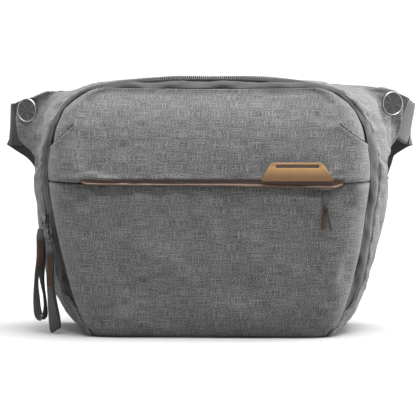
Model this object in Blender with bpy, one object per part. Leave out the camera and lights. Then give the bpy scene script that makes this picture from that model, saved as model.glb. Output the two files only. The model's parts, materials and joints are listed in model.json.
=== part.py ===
"""Camera sling bag: padded soft-sided body with a fold-down front, side wings, swivelling shoulder strap and
removable dividers. Run with  blender --background --python part.py

Frame: metres, +Z up, -Y is the front of the bag, +X its right side as seen from the front. The origin is the
middle of the base, on the surface that the bag stands on. All lengths below are in millimetres.
"""

import math

import bmesh
import bpy
from mathutils import Matrix, Vector

for old in list(bpy.data.objects):
    bpy.data.objects.remove(old, do_unlink=True)

MM = 0.001

# ---------------------------------------------------------------- driving dimensions, in mm
GAP = 0.3  # left between neighbouring pieces
BASE_T = 4.2  # stiff base board
FOLD_Z = 41.0  # height of the line where the front folds down
FOLD_Y = -62.6  # the fold runs along the front face
PANEL_T = 5.0  # padded front
GUSSET_T = 2.6  # smooth nylon strip beside the zip
SIDE_T = 3.6  # padded side
BACK_T = 8.0  # padded back
BACK_Y = 44.0  # plane where sides and back are sewn together
POCKET_Z = 137.0  # lower edge of the front flap
POCKET_HEM = 6.2  # height of the leather hem along that edge
POCKET_X0, POCKET_X1 = -110.7, 115.3
FLAP_OUT = 4.5  # how far the flap stands proud over the pocket zip
WING_T = 5.0
WING_SWEEP = math.radians(31.0)  # the wings sweep back round the wearer
WING_BEND_X = 151.0
DISC_R = 10.7
SHAFT_R = 2.8
WEB_W, WEB_T = 38.0, 1.8  # shoulder webbing
DISC_RIGHT = (160.5, 199.5)  # x, z of each strap swivel; the loaded left wing droops a little
DISC_LEFT = (-167.5, 193.0)
DIVIDER_X, DIVIDER_T = 48.0, 8.0
DIVIDER_HINGE_Z = 118.8
SLIDER_Z = (100.0, 86.4)  # the two main sliders, parked together on the left side
SLIDER_SCALE = 0.8

# Stations round the bag, from the base up the side to the middle of the top: (half width, height, depth).
# SEAM is the edge of the front panel, GUSSET and SIDE the two edges of the zip, BELLY the middle of the side,
# REAR the edge of the back.
SEAM = [(102, 4.7, -51), (110.5, 13, -46), (121, 41, -40), (126.5, 62.5, -37), (133, 92, -35.5), (138.3, 123, -34.5),
        (139.8, 144, -34), (137.3, 165.5, -33.5), (132, 185, -32.5), (119.5, 203.5, -31.5), (94.5, 215.5, -31),
        (47, 216, -31), (0, 216, -31)]
GUSSET = [(104.5, 4.7, -42), (114.5, 13, -35), (127.5, 41, -28), (132.6, 62.5, -25.5), (137.8, 92, -24.5),
          (143, 123, -24), (144.5, 145, -23.5), (142, 167, -23.5), (134.8, 187, -23.5), (120.8, 205.3, -24),
          (95, 217.3, -24), (47, 219.8, -24), (0, 220.4, -24)]
SIDE = [(107, 4.7, -36), (118, 13, -26), (134.5, 41, -17), (140, 62.5, -14), (145.3, 92, -13), (150.6, 123, -12.5),
        (151.8, 146, -12), (147.5, 169, -12), (139, 190.5, -12), (122.8, 208.6, -13), (95.5, 218.6, -14),
        (47, 222.9, -14), (0, 224.0, -14)]
BELLY = [(116, 4.7, 5), (125.5, 13, 10), (141, 41, 13), (147.5, 62.5, 15), (153, 92, 16), (157.5, 123, 16),
         (158.3, 146, 16), (155.5, 168, 16), (149.5, 190, 16), (135, 209, 16), (104, 218.5, 16), (50, 222.4, 16),
         (0, 223.4, 16)]
REAR = [(122, 4.7, BACK_Y), (129.5, 13, BACK_Y), (143.3, 41, BACK_Y), (148.5, 62.5, BACK_Y), (154.5, 92, BACK_Y),
        (159, 123, BACK_Y), (159.3, 146, BACK_Y), (157, 167, BACK_Y), (151.5, 188, BACK_Y), (139, 206, BACK_Y),
        (110, 214.5, BACK_Y), (55, 216, BACK_Y), (0, 216, BACK_Y)]
LAST = 24  # stations run from 0, the left base, over 12, the middle of the top, to 24, the right base

# (height, depth) of the front face along its middle
FRONT_MIDDLE = [(0, -58.5), (20, -61.2), (60, -64.0), (100, -65.0), (130, -64.8), (155, -63.2), (175, -60),
                (187, -55.2), (198, -48), (208, -38.8), (216, -31)]
# wing outline of the right wing: (height, inner x, outer x); and how the left one differs
WING = [(153.0, 147.0, 156.5), (158.5, 144.8, 160.5), (165.5, 142.5, 164.8), (174.5, 139.5, 168.8), (184.5, 134.5, 171.0),
        (194.0, 128.0, 171.3), (202.5, 119.5, 169.5), (208.5, 110.5, 166.8), (212.3, 103.0, 161.5)]
LEFT_DROOP, LEFT_OUT = -5.0, 4.0

COLOURS = {
    "fabric": ((0.235, 0.235, 0.235), 0.9, 0.0),
    "nylon": ((0.135, 0.138, 0.142), 0.7, 0.0),
    "foam": ((0.16, 0.16, 0.165), 0.9, 0.0),
    "lining": ((0.30, 0.30, 0.31), 0.9, 0.0),
    "webbing": ((0.11, 0.11, 0.115), 0.65, 0.0),
    "leather": ((0.24, 0.12, 0.055), 0.5, 0.0),
    "tan_leather": ((0.50, 0.30, 0.13), 0.5, 0.0),
    "zip": ((0.05, 0.05, 0.055), 0.5, 0.0),
    "metal": ((0.30, 0.30, 0.31), 0.3, 1.0),
    "board": ((0.07, 0.07, 0.07), 0.8, 0.0),
}
MATERIALS = {}
for key, (rgb, rough, metal) in COLOURS.items():
    made = bpy.data.materials.new(key)
    made.use_nodes = True
    shader = made.node_tree.nodes["Principled BSDF"]
    shader.inputs["Base Color"].default_value = (*rgb, 1)
    shader.inputs["Roughness"].default_value = rough
    shader.inputs["Metallic"].default_value = metal
    MATERIALS[key] = made


# ---------------------------------------------------------------- curves through stations
def spline(points, s):
    """A smooth curve through the points; s counts points."""
    i = max(0, min(len(points) - 2, int(math.floor(s))))
    t = s - i
    p1, p2 = points[i], points[i + 1]
    p0 = points[i - 1] if i else tuple(2 * a - b for a, b in zip(p1, p2))
    p3 = points[i + 2] if i + 2 < len(points) else tuple(2 * b - a for a, b in zip(p1, p2))
    return tuple(
        0.5 * (2 * b + (c - a) * t + (2 * a - 5 * b + 4 * c - d) * t * t + (3 * b - a - 3 * c + d) * t ** 3)
        for a, b, c, d in zip(p0, p1, p2, p3)
    )


def whole(stations):
    """The full loop from left base to right base, as (x, z, y)."""
    return [(-x, z, y) for x, z, y in stations] + [(x, z, y) for x, z, y in reversed(stations[:-1])]


RINGS = {name: whole(table) for name, table in
         (("seam", SEAM), ("gusset", GUSSET), ("side", SIDE), ("belly", BELLY), ("rear", REAR))}


def on(ring, s):
    x, z, y = spline(RINGS[ring], s)
    return Vector((x, y, z))


def station_at(ring, z):
    """Where the left side of a ring reaches a height."""
    lo, hi = 0.0, 10.0
    for _ in range(40):
        mid = (lo + hi) / 2
        lo, hi = (mid, hi) if on(ring, mid).z < z else (lo, mid)
    return lo


def lookup(table, value):
    """Interpolates smoothly in a table whose first column is value."""
    keys = [row[0] for row in table]
    value = max(keys[0], min(keys[-1], value))
    i = max(k for k in range(len(keys) - 1) if keys[k] <= value)
    s = i + (value - keys[i]) / (keys[i + 1] - keys[i])
    return spline([row[1:] for row in table], s)


def smooth(t):
    t = max(0.0, min(1.0, t))
    return t * t * (3 - 2 * t)


def front_depth(a, z, edge_y):
    """Depth of the front face at a, from -1 at the left seam to 1 at the right seam."""
    middle = lookup(FRONT_MIDDLE, z)[0]
    return edge_y - (edge_y - middle) * max(0.0, 1 - abs(a) ** 12) ** 0.7


def flap_rise(a, z):
    """How far the upper front stands proud over the pocket zip."""
    return FLAP_OUT * (1 - smooth((z - POCKET_Z) / 42)) * (1 - smooth((abs(a) - 0.80) / 0.19))


# ---------------------------------------------------------------- solids
def finish(name, bm, material, smooth_faces=True):
    bmesh.ops.remove_doubles(bm, verts=bm.verts, dist=0.005)
    bmesh.ops.recalc_face_normals(bm, faces=bm.faces)
    mesh = bpy.data.meshes.new(name)
    bm.to_mesh(mesh)
    bm.free()
    mesh.transform(Matrix.Scale(MM, 4))
    if smooth_faces:
        mesh.shade_smooth()
        mesh.set_sharp_from_angle(angle=math.radians(35))
    obj = bpy.data.objects.new(name, mesh)
    bpy.context.scene.collection.objects.link(obj)
    obj.data.materials.append(MATERIALS[material])
    return obj


def slab(name, outer, inner, material):
    """A closed sheet of some thickness between two grids of points."""
    bm = bmesh.new()
    rows, cols = len(outer), len(outer[0])
    a = [[bm.verts.new(p) for p in row] for row in outer]
    b = [[bm.verts.new(p) for p in row] for row in inner]
    for i in range(rows - 1):
        for j in range(cols - 1):
            bm.faces.new((a[i][j], a[i][j + 1], a[i + 1][j + 1], a[i + 1][j]))
            bm.faces.new((b[i][j], b[i + 1][j], b[i + 1][j + 1], b[i][j + 1]))
    rim = [(i, 0) for i in range(rows)] + [(rows - 1, j) for j in range(1, cols)]
    rim += [(i, cols - 1) for i in range(rows - 2, -1, -1)] + [(0, j) for j in range(cols - 2, 0, -1)]
    for (i, j), (k, l) in zip(rim, rim[1:] + rim[:1]):
        bm.faces.new((a[i][j], a[k][l], b[k][l], b[i][j]))
    return finish(name, bm, material)


def inward(grid, thickness, skip_y=False):
    """The grid moved by its thickness towards the middle of the bag, along its normals."""
    rows, cols, moved = len(grid), len(grid[0]), []
    for i in range(rows):
        row = []
        for j in range(cols):
            du = grid[min(i + 1, rows - 1)][j] - grid[max(i - 1, 0)][j]
            dv = grid[i][min(j + 1, cols - 1)] - grid[i][max(j - 1, 0)]
            n = du.cross(dv)
            if skip_y:
                n.y = 0
            n.normalize()
            if n.dot(grid[i][j] - Vector((0, grid[i][j].y, 100))) > 0:
                n = -n
            row.append(grid[i][j] + n * thickness)
        moved.append(row)
    return moved


def prism(name, outline, depth, material, frame=None, bevel=0.0):
    """An outline in the local XY plane, extruded along local Z, then placed by a matrix."""
    bm = bmesh.new()
    face = bm.faces.new([bm.verts.new((x, y, 0)) for x, y in outline])
    made = bmesh.ops.extrude_face_region(bm, geom=[face])
    bmesh.ops.translate(bm, verts=[v for v in made["geom"] if isinstance(v, bmesh.types.BMVert)], vec=(0, 0, depth))
    if bevel:
        edges = [e for e in bm.edges if abs(e.verts[0].co.z - e.verts[1].co.z) < 1e-6]
        bmesh.ops.bevel(bm, geom=edges, offset=bevel, segments=1, affect="EDGES")
    if frame is not None:
        bmesh.ops.transform(bm, matrix=frame, verts=bm.verts)
    return finish(name, bm, material)


def rounded(w, h, r, n=4, cx=0.0, cy=0.0):
    """A rounded rectangle's outline."""
    points = []
    for k, (sx, sy) in enumerate(((1, 1), (-1, 1), (-1, -1), (1, -1))):
        for i in range(n + 1):
            t = math.pi / 2 * (k + i / n)
            points.append((cx + sx * (w / 2 - r) + r * math.cos(t), cy + sy * (h / 2 - r) + r * math.sin(t)))
    return points


def turned(name, profile, material, frame, steps=24):
    """Spins a profile of (radius, height) about local Z."""
    bm = bmesh.new()
    line = [bm.verts.new((r, 0, h)) for r, h in profile]
    edges = [bm.edges.new(pair) for pair in zip(line, line[1:])]
    bmesh.ops.spin(bm, geom=line + edges, cent=(0, 0, 0), axis=(0, 0, 1), angle=2 * math.pi, steps=steps)
    bmesh.ops.remove_doubles(bm, verts=bm.verts, dist=0.001)
    bmesh.ops.transform(bm, matrix=frame, verts=bm.verts)
    return finish(name, bm, material)


def tube_loop(name, path, radius, material, sides=6):
    """A closed wire loop along a list of points."""
    bm = bmesh.new()
    n, rings = len(path), []
    normal = (path[n // 4] - path[0]).cross(path[n // 2] - path[0]).normalized()
    for i, p in enumerate(path):
        t = (path[(i + 1) % n] - path[i - 1]).normalized()
        side = t.cross(normal).normalized()
        rings.append([bm.verts.new(p + radius * (math.cos(a) * side + math.sin(a) * normal))
                      for a in (2 * math.pi * k / sides for k in range(sides))])
    for i in range(n):
        for k in range(sides):
            bm.faces.new((rings[i][k], rings[(i + 1) % n][k], rings[(i + 1) % n][(k + 1) % sides], rings[i][(k + 1) % sides]))
    return finish(name, bm, material)


def ribbon(name, stations, width, thick, material, steps):
    """Flat webbing along stations of (point, direction of its width)."""
    table = [(*p, *w) for p, w in stations]
    grid = []
    for i in range(steps + 1):
        s = i / steps * (len(table) - 1)
        v = spline(table, s)
        u = spline(table, min(s + 0.02, len(table) - 1))
        d = spline(table, max(s - 0.02, 0))
        along = (Vector(u[:3]) - Vector(d[:3])).normalized()
        across = Vector(v[3:])
        across = (across - across.dot(along) * along).normalized()
        grid.append((Vector(v[:3]), across, along.cross(across).normalized()))
    bm = bmesh.new()
    rings = []
    for p, across, normal in grid:
        rings.append([bm.verts.new(p + across * width / 2 * a + normal * thick / 2 * b)
                      for a, b in ((-1, -1), (1, -1), (1, 1), (-1, 1))])
    for one, two in zip(rings, rings[1:]):
        for k in range(4):
            bm.faces.new((one[k], one[(k + 1) % 4], two[(k + 1) % 4], two[k]))
    bm.faces.new(rings[0])
    bm.faces.new(rings[-1])
    return finish(name, bm, material)


def frame_of(origin, x_axis, z_axis):
    """A matrix whose local Z is z_axis and whose local X is nearest to x_axis."""
    z = Vector(z_axis).normalized()
    x = Vector(x_axis)
    x = (x - x.dot(z) * z).normalized()
    y = z.cross(x)
    return Matrix(((x.x, y.x, z.x, origin[0]), (x.y, y.y, z.y, origin[1]), (x.z, y.z, z.z, origin[2]), (0, 0, 0, 1)))


def cut(obj, cutters, operation="DIFFERENCE"):
    for cutter in cutters:
        modifier = obj.modifiers.new("cut", "BOOLEAN")
        modifier.operation, modifier.object, modifier.solver = operation, cutter, "EXACT"
        cutter.hide_render, cutter.display_type = True, "WIRE"
        cutter.hide_viewport = False
    return obj


def steps_between(a, b, count):
    return [a + (b - a) * i / count for i in range(count + 1)]


# ---------------------------------------------------------------- front cover: folds down about the line z = FOLD_Z
ACROSS = [-1, -0.975, -0.93, -0.86, -0.76, -0.5, -0.17, 0.17, 0.5, 0.76, 0.86, 0.93, 0.975, 1]


def front_grid(heights, lift=lambda a, z: 0.0, drop=0.0):
    """Rows of the front face, each at one height on the seam."""
    grid = []
    for z in heights:
        s = station_at("seam", z) if z < 215.4 else 10.0
        left, right = on("seam", s), on("seam", LAST - s)
        grid.append([Vector((left.x + (right.x - left.x) * (a + 1) / 2,
                             front_depth(a, z, left.y) - lift(a, z) + drop, left.z)) for a in ACROSS])
    return grid


def front_slab(name, heights, material, lift=lambda a, z: 0.0, back=PANEL_T, drop=0.0):
    outer = front_grid(heights, lift, drop)
    inner = [[p + Vector((0, back, 0)) for p in row] for row in outer]
    return slab(name, outer, inner, material)


front_slab("front_panel_upper", [POCKET_Z + GAP, 145, 155, 165, 175, 184, 192, 199, 205, 210.5, 215.5], "fabric", flap_rise)
front_slab("front_panel_lower", steps_between(FOLD_Z + GAP, 127.0, 5), "fabric")
front_slab("front_base_band", steps_between(4.7, FOLD_Z - GAP, 3), "fabric")
front_slab("pocket_zip_tape", [127.3, 136.9], "zip", back=2.0, drop=2.6)

# pocket lining: a flat pouch behind the lower front
lining_x = [-96, -64, -32, 0, 32, 64, 96]
lining = [[Vector((x, -55.6, z)) for x in lining_x] for z in (50, 90, 122, 152)]
slab("pocket_lining", lining, [[p + Vector((0, 1.2, 0)) for p in row] for row in lining], "lining")

# leather hem along the flap's lower edge
hem_x = steps_between(POCKET_X0, POCKET_X1, 12)


def hem_depth(x):
    half = on("seam", LAST - station_at("seam", POCKET_Z)).x
    return front_depth(x / half, POCKET_Z, -34)


hem = [[Vector((x, hem_depth(x) - FLAP_OUT - 0.5, z)) for x in hem_x] for z in (POCKET_Z - POCKET_HEM, POCKET_Z)]
slab("pocket_hem", hem, [[p + Vector((0, 2.2, 0)) for p in row] for row in hem], "leather")

# tan leather tab with a slot, sewn on the flap above the hem
TAB = [(44.6, 137.6), (108.7, 137.6), (99.0, 150.6), (96.2, 152.2), (55.6, 152.2), (53.0, 150.6)]
tab_y = hem_depth(76) - FLAP_OUT - 0.4
tab = prism("leather_tab", TAB, 1.6, "tan_leather", frame_of((0, tab_y, 0), (1, 0, 0), (0, -1, 0)))
slot = prism("tab_slot_cutter", rounded(37.4, 2.3, 1.1, 3, 76.4, 148.5), 8.0, "tan_leather",
             frame_of((0, tab_y + 4, 0), (1, 0, 0), (0, -1, 0)))

# nylon strip between the front panel and the zip
across_zip = lambda s, v: on("gusset", s).lerp(on("side", s), v)
cover_stations = [2.012] + [2 + 20 * i / 40 for i in range(1, 40)] + [21.988]


def strip(name, low, high, stations, thickness, material, sink=0.0, mids=(), floor_z=None):
    """A strip round the bag between two functions of the station."""
    outer = []
    for s in stations:
        a, b = low(s), high(s)
        row = [a] + [a.lerp(b, m) for m in mids] + [b]
        outer.append(row)
    if sink:
        outer = inward(outer, sink, skip_y=True)
    inner = inward(outer, thickness, skip_y=True)
    if floor_z is not None:
        for grid in (outer, inner):
            for row, limit in ((grid[0], 1), (grid[-1], 1)):
                for p in row:
                    p.z = floor_z
    return slab(name, outer, inner, material)


strip("front_gusset", lambda s: on("seam", s) + Vector((0, PANEL_T + GAP, 0)), lambda s: across_zip(s, -0.02),
      cover_stations, GUSSET_T, "nylon", floor_z=FOLD_Z + GAP)
strip("main_zip_front", lambda s: across_zip(s, 0.06), lambda s: across_zip(s, 0.475), cover_stations, 1.6, "zip",
      sink=0.5, floor_z=FOLD_Z + GAP)
strip("main_zip_rear", lambda s: across_zip(s, 0.525), lambda s: across_zip(s, 0.94), cover_stations, 1.6, "zip",
      sink=0.5, floor_z=FOLD_Z + GAP)

# ---------------------------------------------------------------- body: base, sides, back
low_stations = {"left": [0, 0.5, 1, 1.5, 1.988], "right": [22.012, 22.5, 23, 23.5, 24]}
for side, stations in low_stations.items():
    outer = []
    for s in stations:
        seam = on("seam", s) + Vector((0, PANEL_T + GAP, 0))
        outer.append([seam, on("gusset", s), on("side", s) - Vector((0, 2 * GAP, 0))])
    inner = inward(outer, GUSSET_T, skip_y=True)
    for grid in (outer, inner):
        top = -1 if side == "left" else 0
        for p in grid[top]:
            p.z = FOLD_Z - GAP
        for p in grid[0 if side == "left" else -1]:
            p.z = 4.7
    slab("lower_gusset_" + side, outer, inner, "nylon")

side_stations = {"left": [0, 0.5, 1, 1.5] + [2 + 0.5 * i for i in range(16)],
                 "right": [14 + 0.5 * i for i in range(17)] + [22.5, 23, 23.5, 24]}
side_stations["left"] = [0, 0.5, 1, 1.5] + [2 + 0.5 * i for i in range(17)]
for side, stations in side_stations.items():
    outer = []
    for s in stations:
        start = on("side", s)
        start += (on("belly", s) - start).normalized() * 0.4
        row = [start, on("side", s).lerp(on("belly", s), 0.5) + (on("belly", s) - Vector((0, on("belly", s).y, 100))).normalized() * 0.6,
               on("belly", s), on("belly", s).lerp(on("rear", s), 0.5), on("rear", s) - Vector((0, GAP, 0))]
        outer.append(row)
    inner = inward(outer, SIDE_T, skip_y=True)
    for grid in (outer, inner):
        for p in grid[0 if side == "left" else -1]:
            p.z = 4.7
    top = -1 if side == "left" else 0
    for p, q in zip(outer[top], inner[top]):
        p.x += -0.5 if side == "left" else 0.5
        q.x = p.x
    slab("side_panel_" + side, outer, inner, "fabric")

outer = []
for s in steps_between(10.0, 14.0, 8):
    start = on("side", s)
    start += (on("belly", s) - start).normalized() * 0.4
    outer.append([start, on("belly", s), on("rear", s) - Vector((0, GAP, 0))])
outer[0] = [p + Vector((0.4, 0, 0)) for p in outer[0]]
outer[-1] = [p - Vector((0.4, 0, 0)) for p in outer[-1]]
inner = inward(outer, SIDE_T, skip_y=True)
for k in (0, -1):
    for p, q in zip(outer[k], inner[k]):
        q.x = p.x
slab("top_rear_panel", outer, inner, "fabric")

# back: the outline follows the rear edge, cut back where the wings are sewn in
back_outline = []
for s in [0, 0.5, 1, 1.5, 2, 2.5, 3, 3.5, 4, 4.5, 5, 5.5, 6]:
    p = on("rear", s)
    back_outline.append((p.x, p.z))
back_outline += [(-(x_in - 0.8), z) for z, x_in, _ in WING]
back_outline += [(x, 215.6) for x in (-97, -50, 0, 50)]
mirror = [(-x, z) for x, z in reversed(back_outline[:22])]
back_outline = back_outline + [(97, 215.6)] + mirror
clean = []
for p in back_outline:
    if not clean or (abs(p[0] - clean[-1][0]) + abs(p[1] - clean[-1][1])) > 0.5:
        clean.append(p)
prism("back_panel", clean, BACK_T, "fabric", frame_of((0, BACK_Y + BACK_T, 0), (1, 0, 0), (0, -1, 0)))

# base board, over the whole footprint
footprint = [(-93, -57.5), (-60, -58.2), (0, -58.5), (60, -58.2), (93, -57.5), (98, -53.5), (103, -42), (107, -28), (113, 4),
             (118.5, 36), (119.5, 44), (117, 49.5), (110, 51.8), (0, 52), (-110, 51.8), (-117, 49.5), (-119.5, 44),
             (-118.5, 36), (-113, 4), (-107, -28), (-103, -42), (-98, -53.5)]
prism("base_board", footprint, BASE_T, "board")
pad = [(-92, -44), (92, -44), (99, -33), (108, 0), (113, 28), (113, 33), (-113, 33), (-113, 28), (-108, 0), (-99, -33)]
prism("base_pad", pad, 3.0, "lining", Matrix.Translation((0, 0, 4.8)))
# flat sleeve for papers or a tablet against the back
prism("back_sleeve", [(-116, 8.4), (-134, 45), (-139, 70), (-144, 118), (-144, 160), (-136, 166), (136, 166), (144, 160),
                      (144, 118), (139, 70), (134, 45), (116, 8.4)], 2.6, "lining",
      frame_of((0, 39.4, 0), (1, 0, 0), (0, -1, 0)))


# ---------------------------------------------------------------- wings and strap swivels
def wing_depth(x):
    """Depth of a wing's front skin; it bends back past the body."""
    return BACK_Y + 0.5 + max(0.0, abs(x) - WING_BEND_X) * math.tan(WING_SWEEP)


ANCHOR_PIVOT = {}
for side, sign in (("left", -1), ("right", 1)):
    left = side == "left"
    grid = []
    for z, x_in, x_out in WING:
        reach = x_out + (LEFT_OUT if left else 0)
        height = z
        row = []
        for t in (0, 0.3, 0.55, 0.75, 0.9, 1):
            x = x_in + (reach - x_in) * t
            z_here = height + (LEFT_DROOP * smooth((x - x_in) / (reach - x_in)) if left else 0)
            row.append(Vector((sign * x, wing_depth(x), z_here)))
        grid.append(row)
    wing = slab("wing_" + side, grid, [[p + Vector((0, WING_T, 0)) for p in row] for row in grid], "fabric")
    dx, dz = DISC_LEFT if left else DISC_RIGHT
    centre = Vector((dx, wing_depth(dx), dz))
    normal = Vector((sign * math.sin(WING_SWEEP), -math.cos(WING_SWEEP), 0))
    frame = frame_of(centre, (0, 0, 1), normal)
    hole = turned("rivet_hole_" + side, [(0, 10), (SHAFT_R + 0.6, 10), (SHAFT_R + 0.6, -14), (0, -14)], "metal", frame)
    cut(wing, [hole])
    cap = [(0, 1.7), (DISC_R - 1.5, 1.7), (DISC_R - 1.1, 2.3), (DISC_R - 0.3, 2.3), (DISC_R, 1.9), (DISC_R, 0.5), (SHAFT_R, 0.5),
           (SHAFT_R, -9.1), (0, -9.1)]
    turned("strap_disc_" + side, cap, "metal", frame)
    turned("rivet_cap_" + side, [(0, -9.4), (7.2, -9.4), (7.2, -10.7), (6.4, -11.4), (0, -11.4)], "metal", frame)
    ANCHOR_PIVOT[side] = (centre, normal)
    # strap end plate, behind the wing; local X runs out along the strap, which leaves 22 degrees below level
    fall = math.radians(22)
    out = Vector((sign * math.cos(WING_SWEEP), math.sin(WING_SWEEP), 0))
    along = out * math.cos(fall) - Vector((0, 0, 1)) * math.sin(fall)
    plate_frame = frame_of(centre - normal * 8.7, along, normal)
    across = Vector((plate_frame[0][1], plate_frame[1][1], plate_frame[2][1]))
    flip = 1 if across.z > 0 else -1
    outline = []
    for i in range(9):
        t = math.pi / 2 + math.pi * i / 8
        outline.append((7.0 * math.cos(t), 7.0 * math.sin(t)))
    outline += [(9.5, -25.2), (20, -25.2), (21, -24.2), (21, 11.8), (20, 12.8), (6, 12.8)]
    outline = [(x, y * flip) for x, y in outline]
    plate = prism("strap_anchor_" + side, outline, 2.6, "webbing", plate_frame)
    cut(plate, [turned("anchor_hole_" + side, [(0, 10), (SHAFT_R + 0.5, 10), (SHAFT_R + 0.5, -14), (0, -14)], "metal", frame)])

    # webbing: from the plate, round behind the wing, then down behind the back to the surface
    w0 = across * flip
    p0 = centre - normal * 10.1 + along * 10 - w0 * 6.2
    p1 = p0 + along * 10
    s_x, s_z = (179.6, 180.0) if not left else (185.0, 178.6)
    tilt = 0.16 if not left else -0.05
    stations = [
        (p0, w0),
        (p1, w0),
        (Vector((sign * (s_x - 2.6), 77.4, s_z + 0.8)), Vector((sign * tilt, 0, 1))),
        (Vector((sign * s_x, 83.2, s_z)), Vector((sign * tilt, 0, 1))),
        (Vector((sign * (s_x - 3.6), 89.0, s_z - 1.5)), Vector((sign * (tilt - 0.12), 0.0, 1))),
    ]
    if left:
        stations += [
            (Vector((-172.5, 92.0, 170.5)), Vector((0.24, 0.02, 0.97))),
            (Vector((-156.0, 92.0, 158.0)), Vector((0.42, 0, 0.90))),
        ]
    else:
        stations += [
            (Vector((165.5, 92.0, 173.8)), Vector((-0.24, 0.02, 0.97))),
            (Vector((152.2, 91.6, 162.0)), Vector((-0.34, 0, 0.94))),
            (Vector((145.2, 90.4, 145.5)), Vector((-0.64, 0, 0.77))),
        ]
    stations += [
        (Vector((sign * 137.5, 89.0, 131.5)), Vector((-sign * 0.757, 0, 0.653))),
        (Vector((sign * 119.0, 86.0, 110.0)), Vector((-sign * 0.757, 0, 0.653))),
        (Vector((sign * 101.0, 83.5, 87.5)), Vector((-sign * 0.78, 0.05, 0.62))),
        (Vector((sign * 86.0, 81.5, 62.0)), Vector((-sign * 0.80, 0.30, 0.45))),
        (Vector((sign * 73.5, 80.5, 36.0)), Vector((-sign * 0.62, 0.75, 0.25))),
        (Vector((sign * 58.0, 80.5, 14.0)), Vector((-sign * 0.2, 0.97, 0.08))),
        (Vector((sign * 36.0, 81.0, 3.4)), Vector((0, 1, 0))),
        (Vector((sign * 10.0, 81.0, 2.0)), Vector((0, 1, 0))),
    ]
    if left:
        stations.append((Vector((-0.2, 81.0, 2.0)), Vector((0, 1, 0))))
    else:
        stations.append((Vector((0.2, 81.0, 2.0)), Vector((0, 1, 0))))
    ribbon("strap_webbing_" + side, stations, WEB_W, WEB_T, "webbing", 46)

# slide adjuster on the straight run of the right-hand webbing
ADJ_A, ADJ_B = Vector((137.5, 89.0, 131.5)), Vector((119.0, 86.0, 110.0))
run = (ADJ_B - ADJ_A).normalized()
adj_centre = ADJ_A.lerp(ADJ_B, 0.5)
adj_across = Vector((-0.757, 0, 0.653))
adj_normal = run.cross(adj_across).normalized()
if adj_normal.y < 0:
    adj_normal = -adj_normal
adj_frame = frame_of(adj_centre, run, adj_normal)
adjuster = prism("strap_adjuster", rounded(21, 47, 2.5, 3), 6.4, "metal", adj_frame @ Matrix.Translation((0, 0, -2.6)))
tunnel = prism("adjuster_tunnel", rounded(60, 39.4, 0.3, 1), 3.6, "metal", adj_frame @ Matrix.Translation((0, 0, -1.8)))
window = prism("adjuster_window", rounded(5.4, 36.4, 1.2, 2, -4.9), 8, "metal", adj_frame @ Matrix.Translation((0, 0, 0)))
window2 = prism("adjuster_window_2", rounded(5.4, 36.4, 1.2, 2, 4.9), 8, "metal", adj_frame @ Matrix.Translation((0, 0, 0)))
cut(adjuster, [tunnel, window, window2])
# pull tab of the adjuster, hinged on its lower edge
tab_frame = adj_frame @ Matrix.Translation((11.4, 0, 2.8))
prism("adjuster_pull_tab", rounded(26, 24, 4, 3, 13.6), 1.6, "webbing", tab_frame)
# keeper that holds the joined webbing ends where they lie together
keeper = prism("strap_keeper", rounded(16, 42.4, 1.0, 2, 0, 81.0), 4.6, "webbing", Matrix.Translation((0, 0, 0.2)))
cut(keeper, [prism("keeper_tunnel", rounded(30, 39.0, 0.3, 1, 0, 81.0), 2.8, "webbing", Matrix.Translation((0, 0, 0.7)))])

# small carry loops low on both sides
for side, sign in (("left", -1), ("right", 1)):
    prism("carry_loop_" + side, [(sign * 122.0, 27), (sign * 134.5, 24), (sign * 142.0, 31), (sign * 144.5, 38), (sign * 141.0, 39.4),
                                (sign * 130.0, 34)], 8.0, "webbing",
          frame_of((0, BACK_Y + BACK_T + 8.4, 0), (1, 0, 0), (0, -1, 0)))


# ---------------------------------------------------------------- main zip sliders and their pulls
def slider(name, frame, scale=1.0):
    """Slider: a waisted body with a bridge over it. Local X is across the teeth, Y along them, Z out of the bag."""
    outline = [(-2.6, -6), (2.6, -6), (3.2, -1.5), (4.3, 3.2), (3.6, 6.2), (-3.6, 6.2), (-4.3, 3.2), (-3.2, -1.5)]
    body = prism(name, [(x * scale, y * scale) for x, y in outline], 3.4 * scale, "metal", frame @ Matrix.Translation((0, 0, 0.5)), bevel=0.5)
    arch_side = [(-4.4, 3.2), (-4.4, 6.6), (-3.2, 8.4), (3.2, 8.4), (4.4, 6.6), (4.4, 3.2), (2.9, 3.2), (2.9, 6.2), (2.2, 6.9),
                 (-2.2, 6.9), (-2.9, 6.2), (-2.9, 3.2)]
    arch = prism(name + "_bridge", [(y * scale, z * scale) for y, z in arch_side], 2.6 * scale, "metal",
                 frame @ Matrix.Translation((1.3 * scale, 0, 0)) @ Matrix(((0, 0, -1, 0), (1, 0, 0, 0), (0, 1, 0, 0), (0, 0, 0, 1))))
    return cut(body, [arch], "UNION")


def stadium(centre, up, side, length, width, n=5):
    """Points of a rounded link."""
    r, points = width / 2, []
    for k in range(2):
        sign = 1 if k == 0 else -1
        for i in range(n + 1):
            t = math.pi * i / n
            points.append(centre + sign * (up * (length / 2 - r) + side * r * math.cos(t) + up * r * math.sin(t)))
    return points


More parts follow.
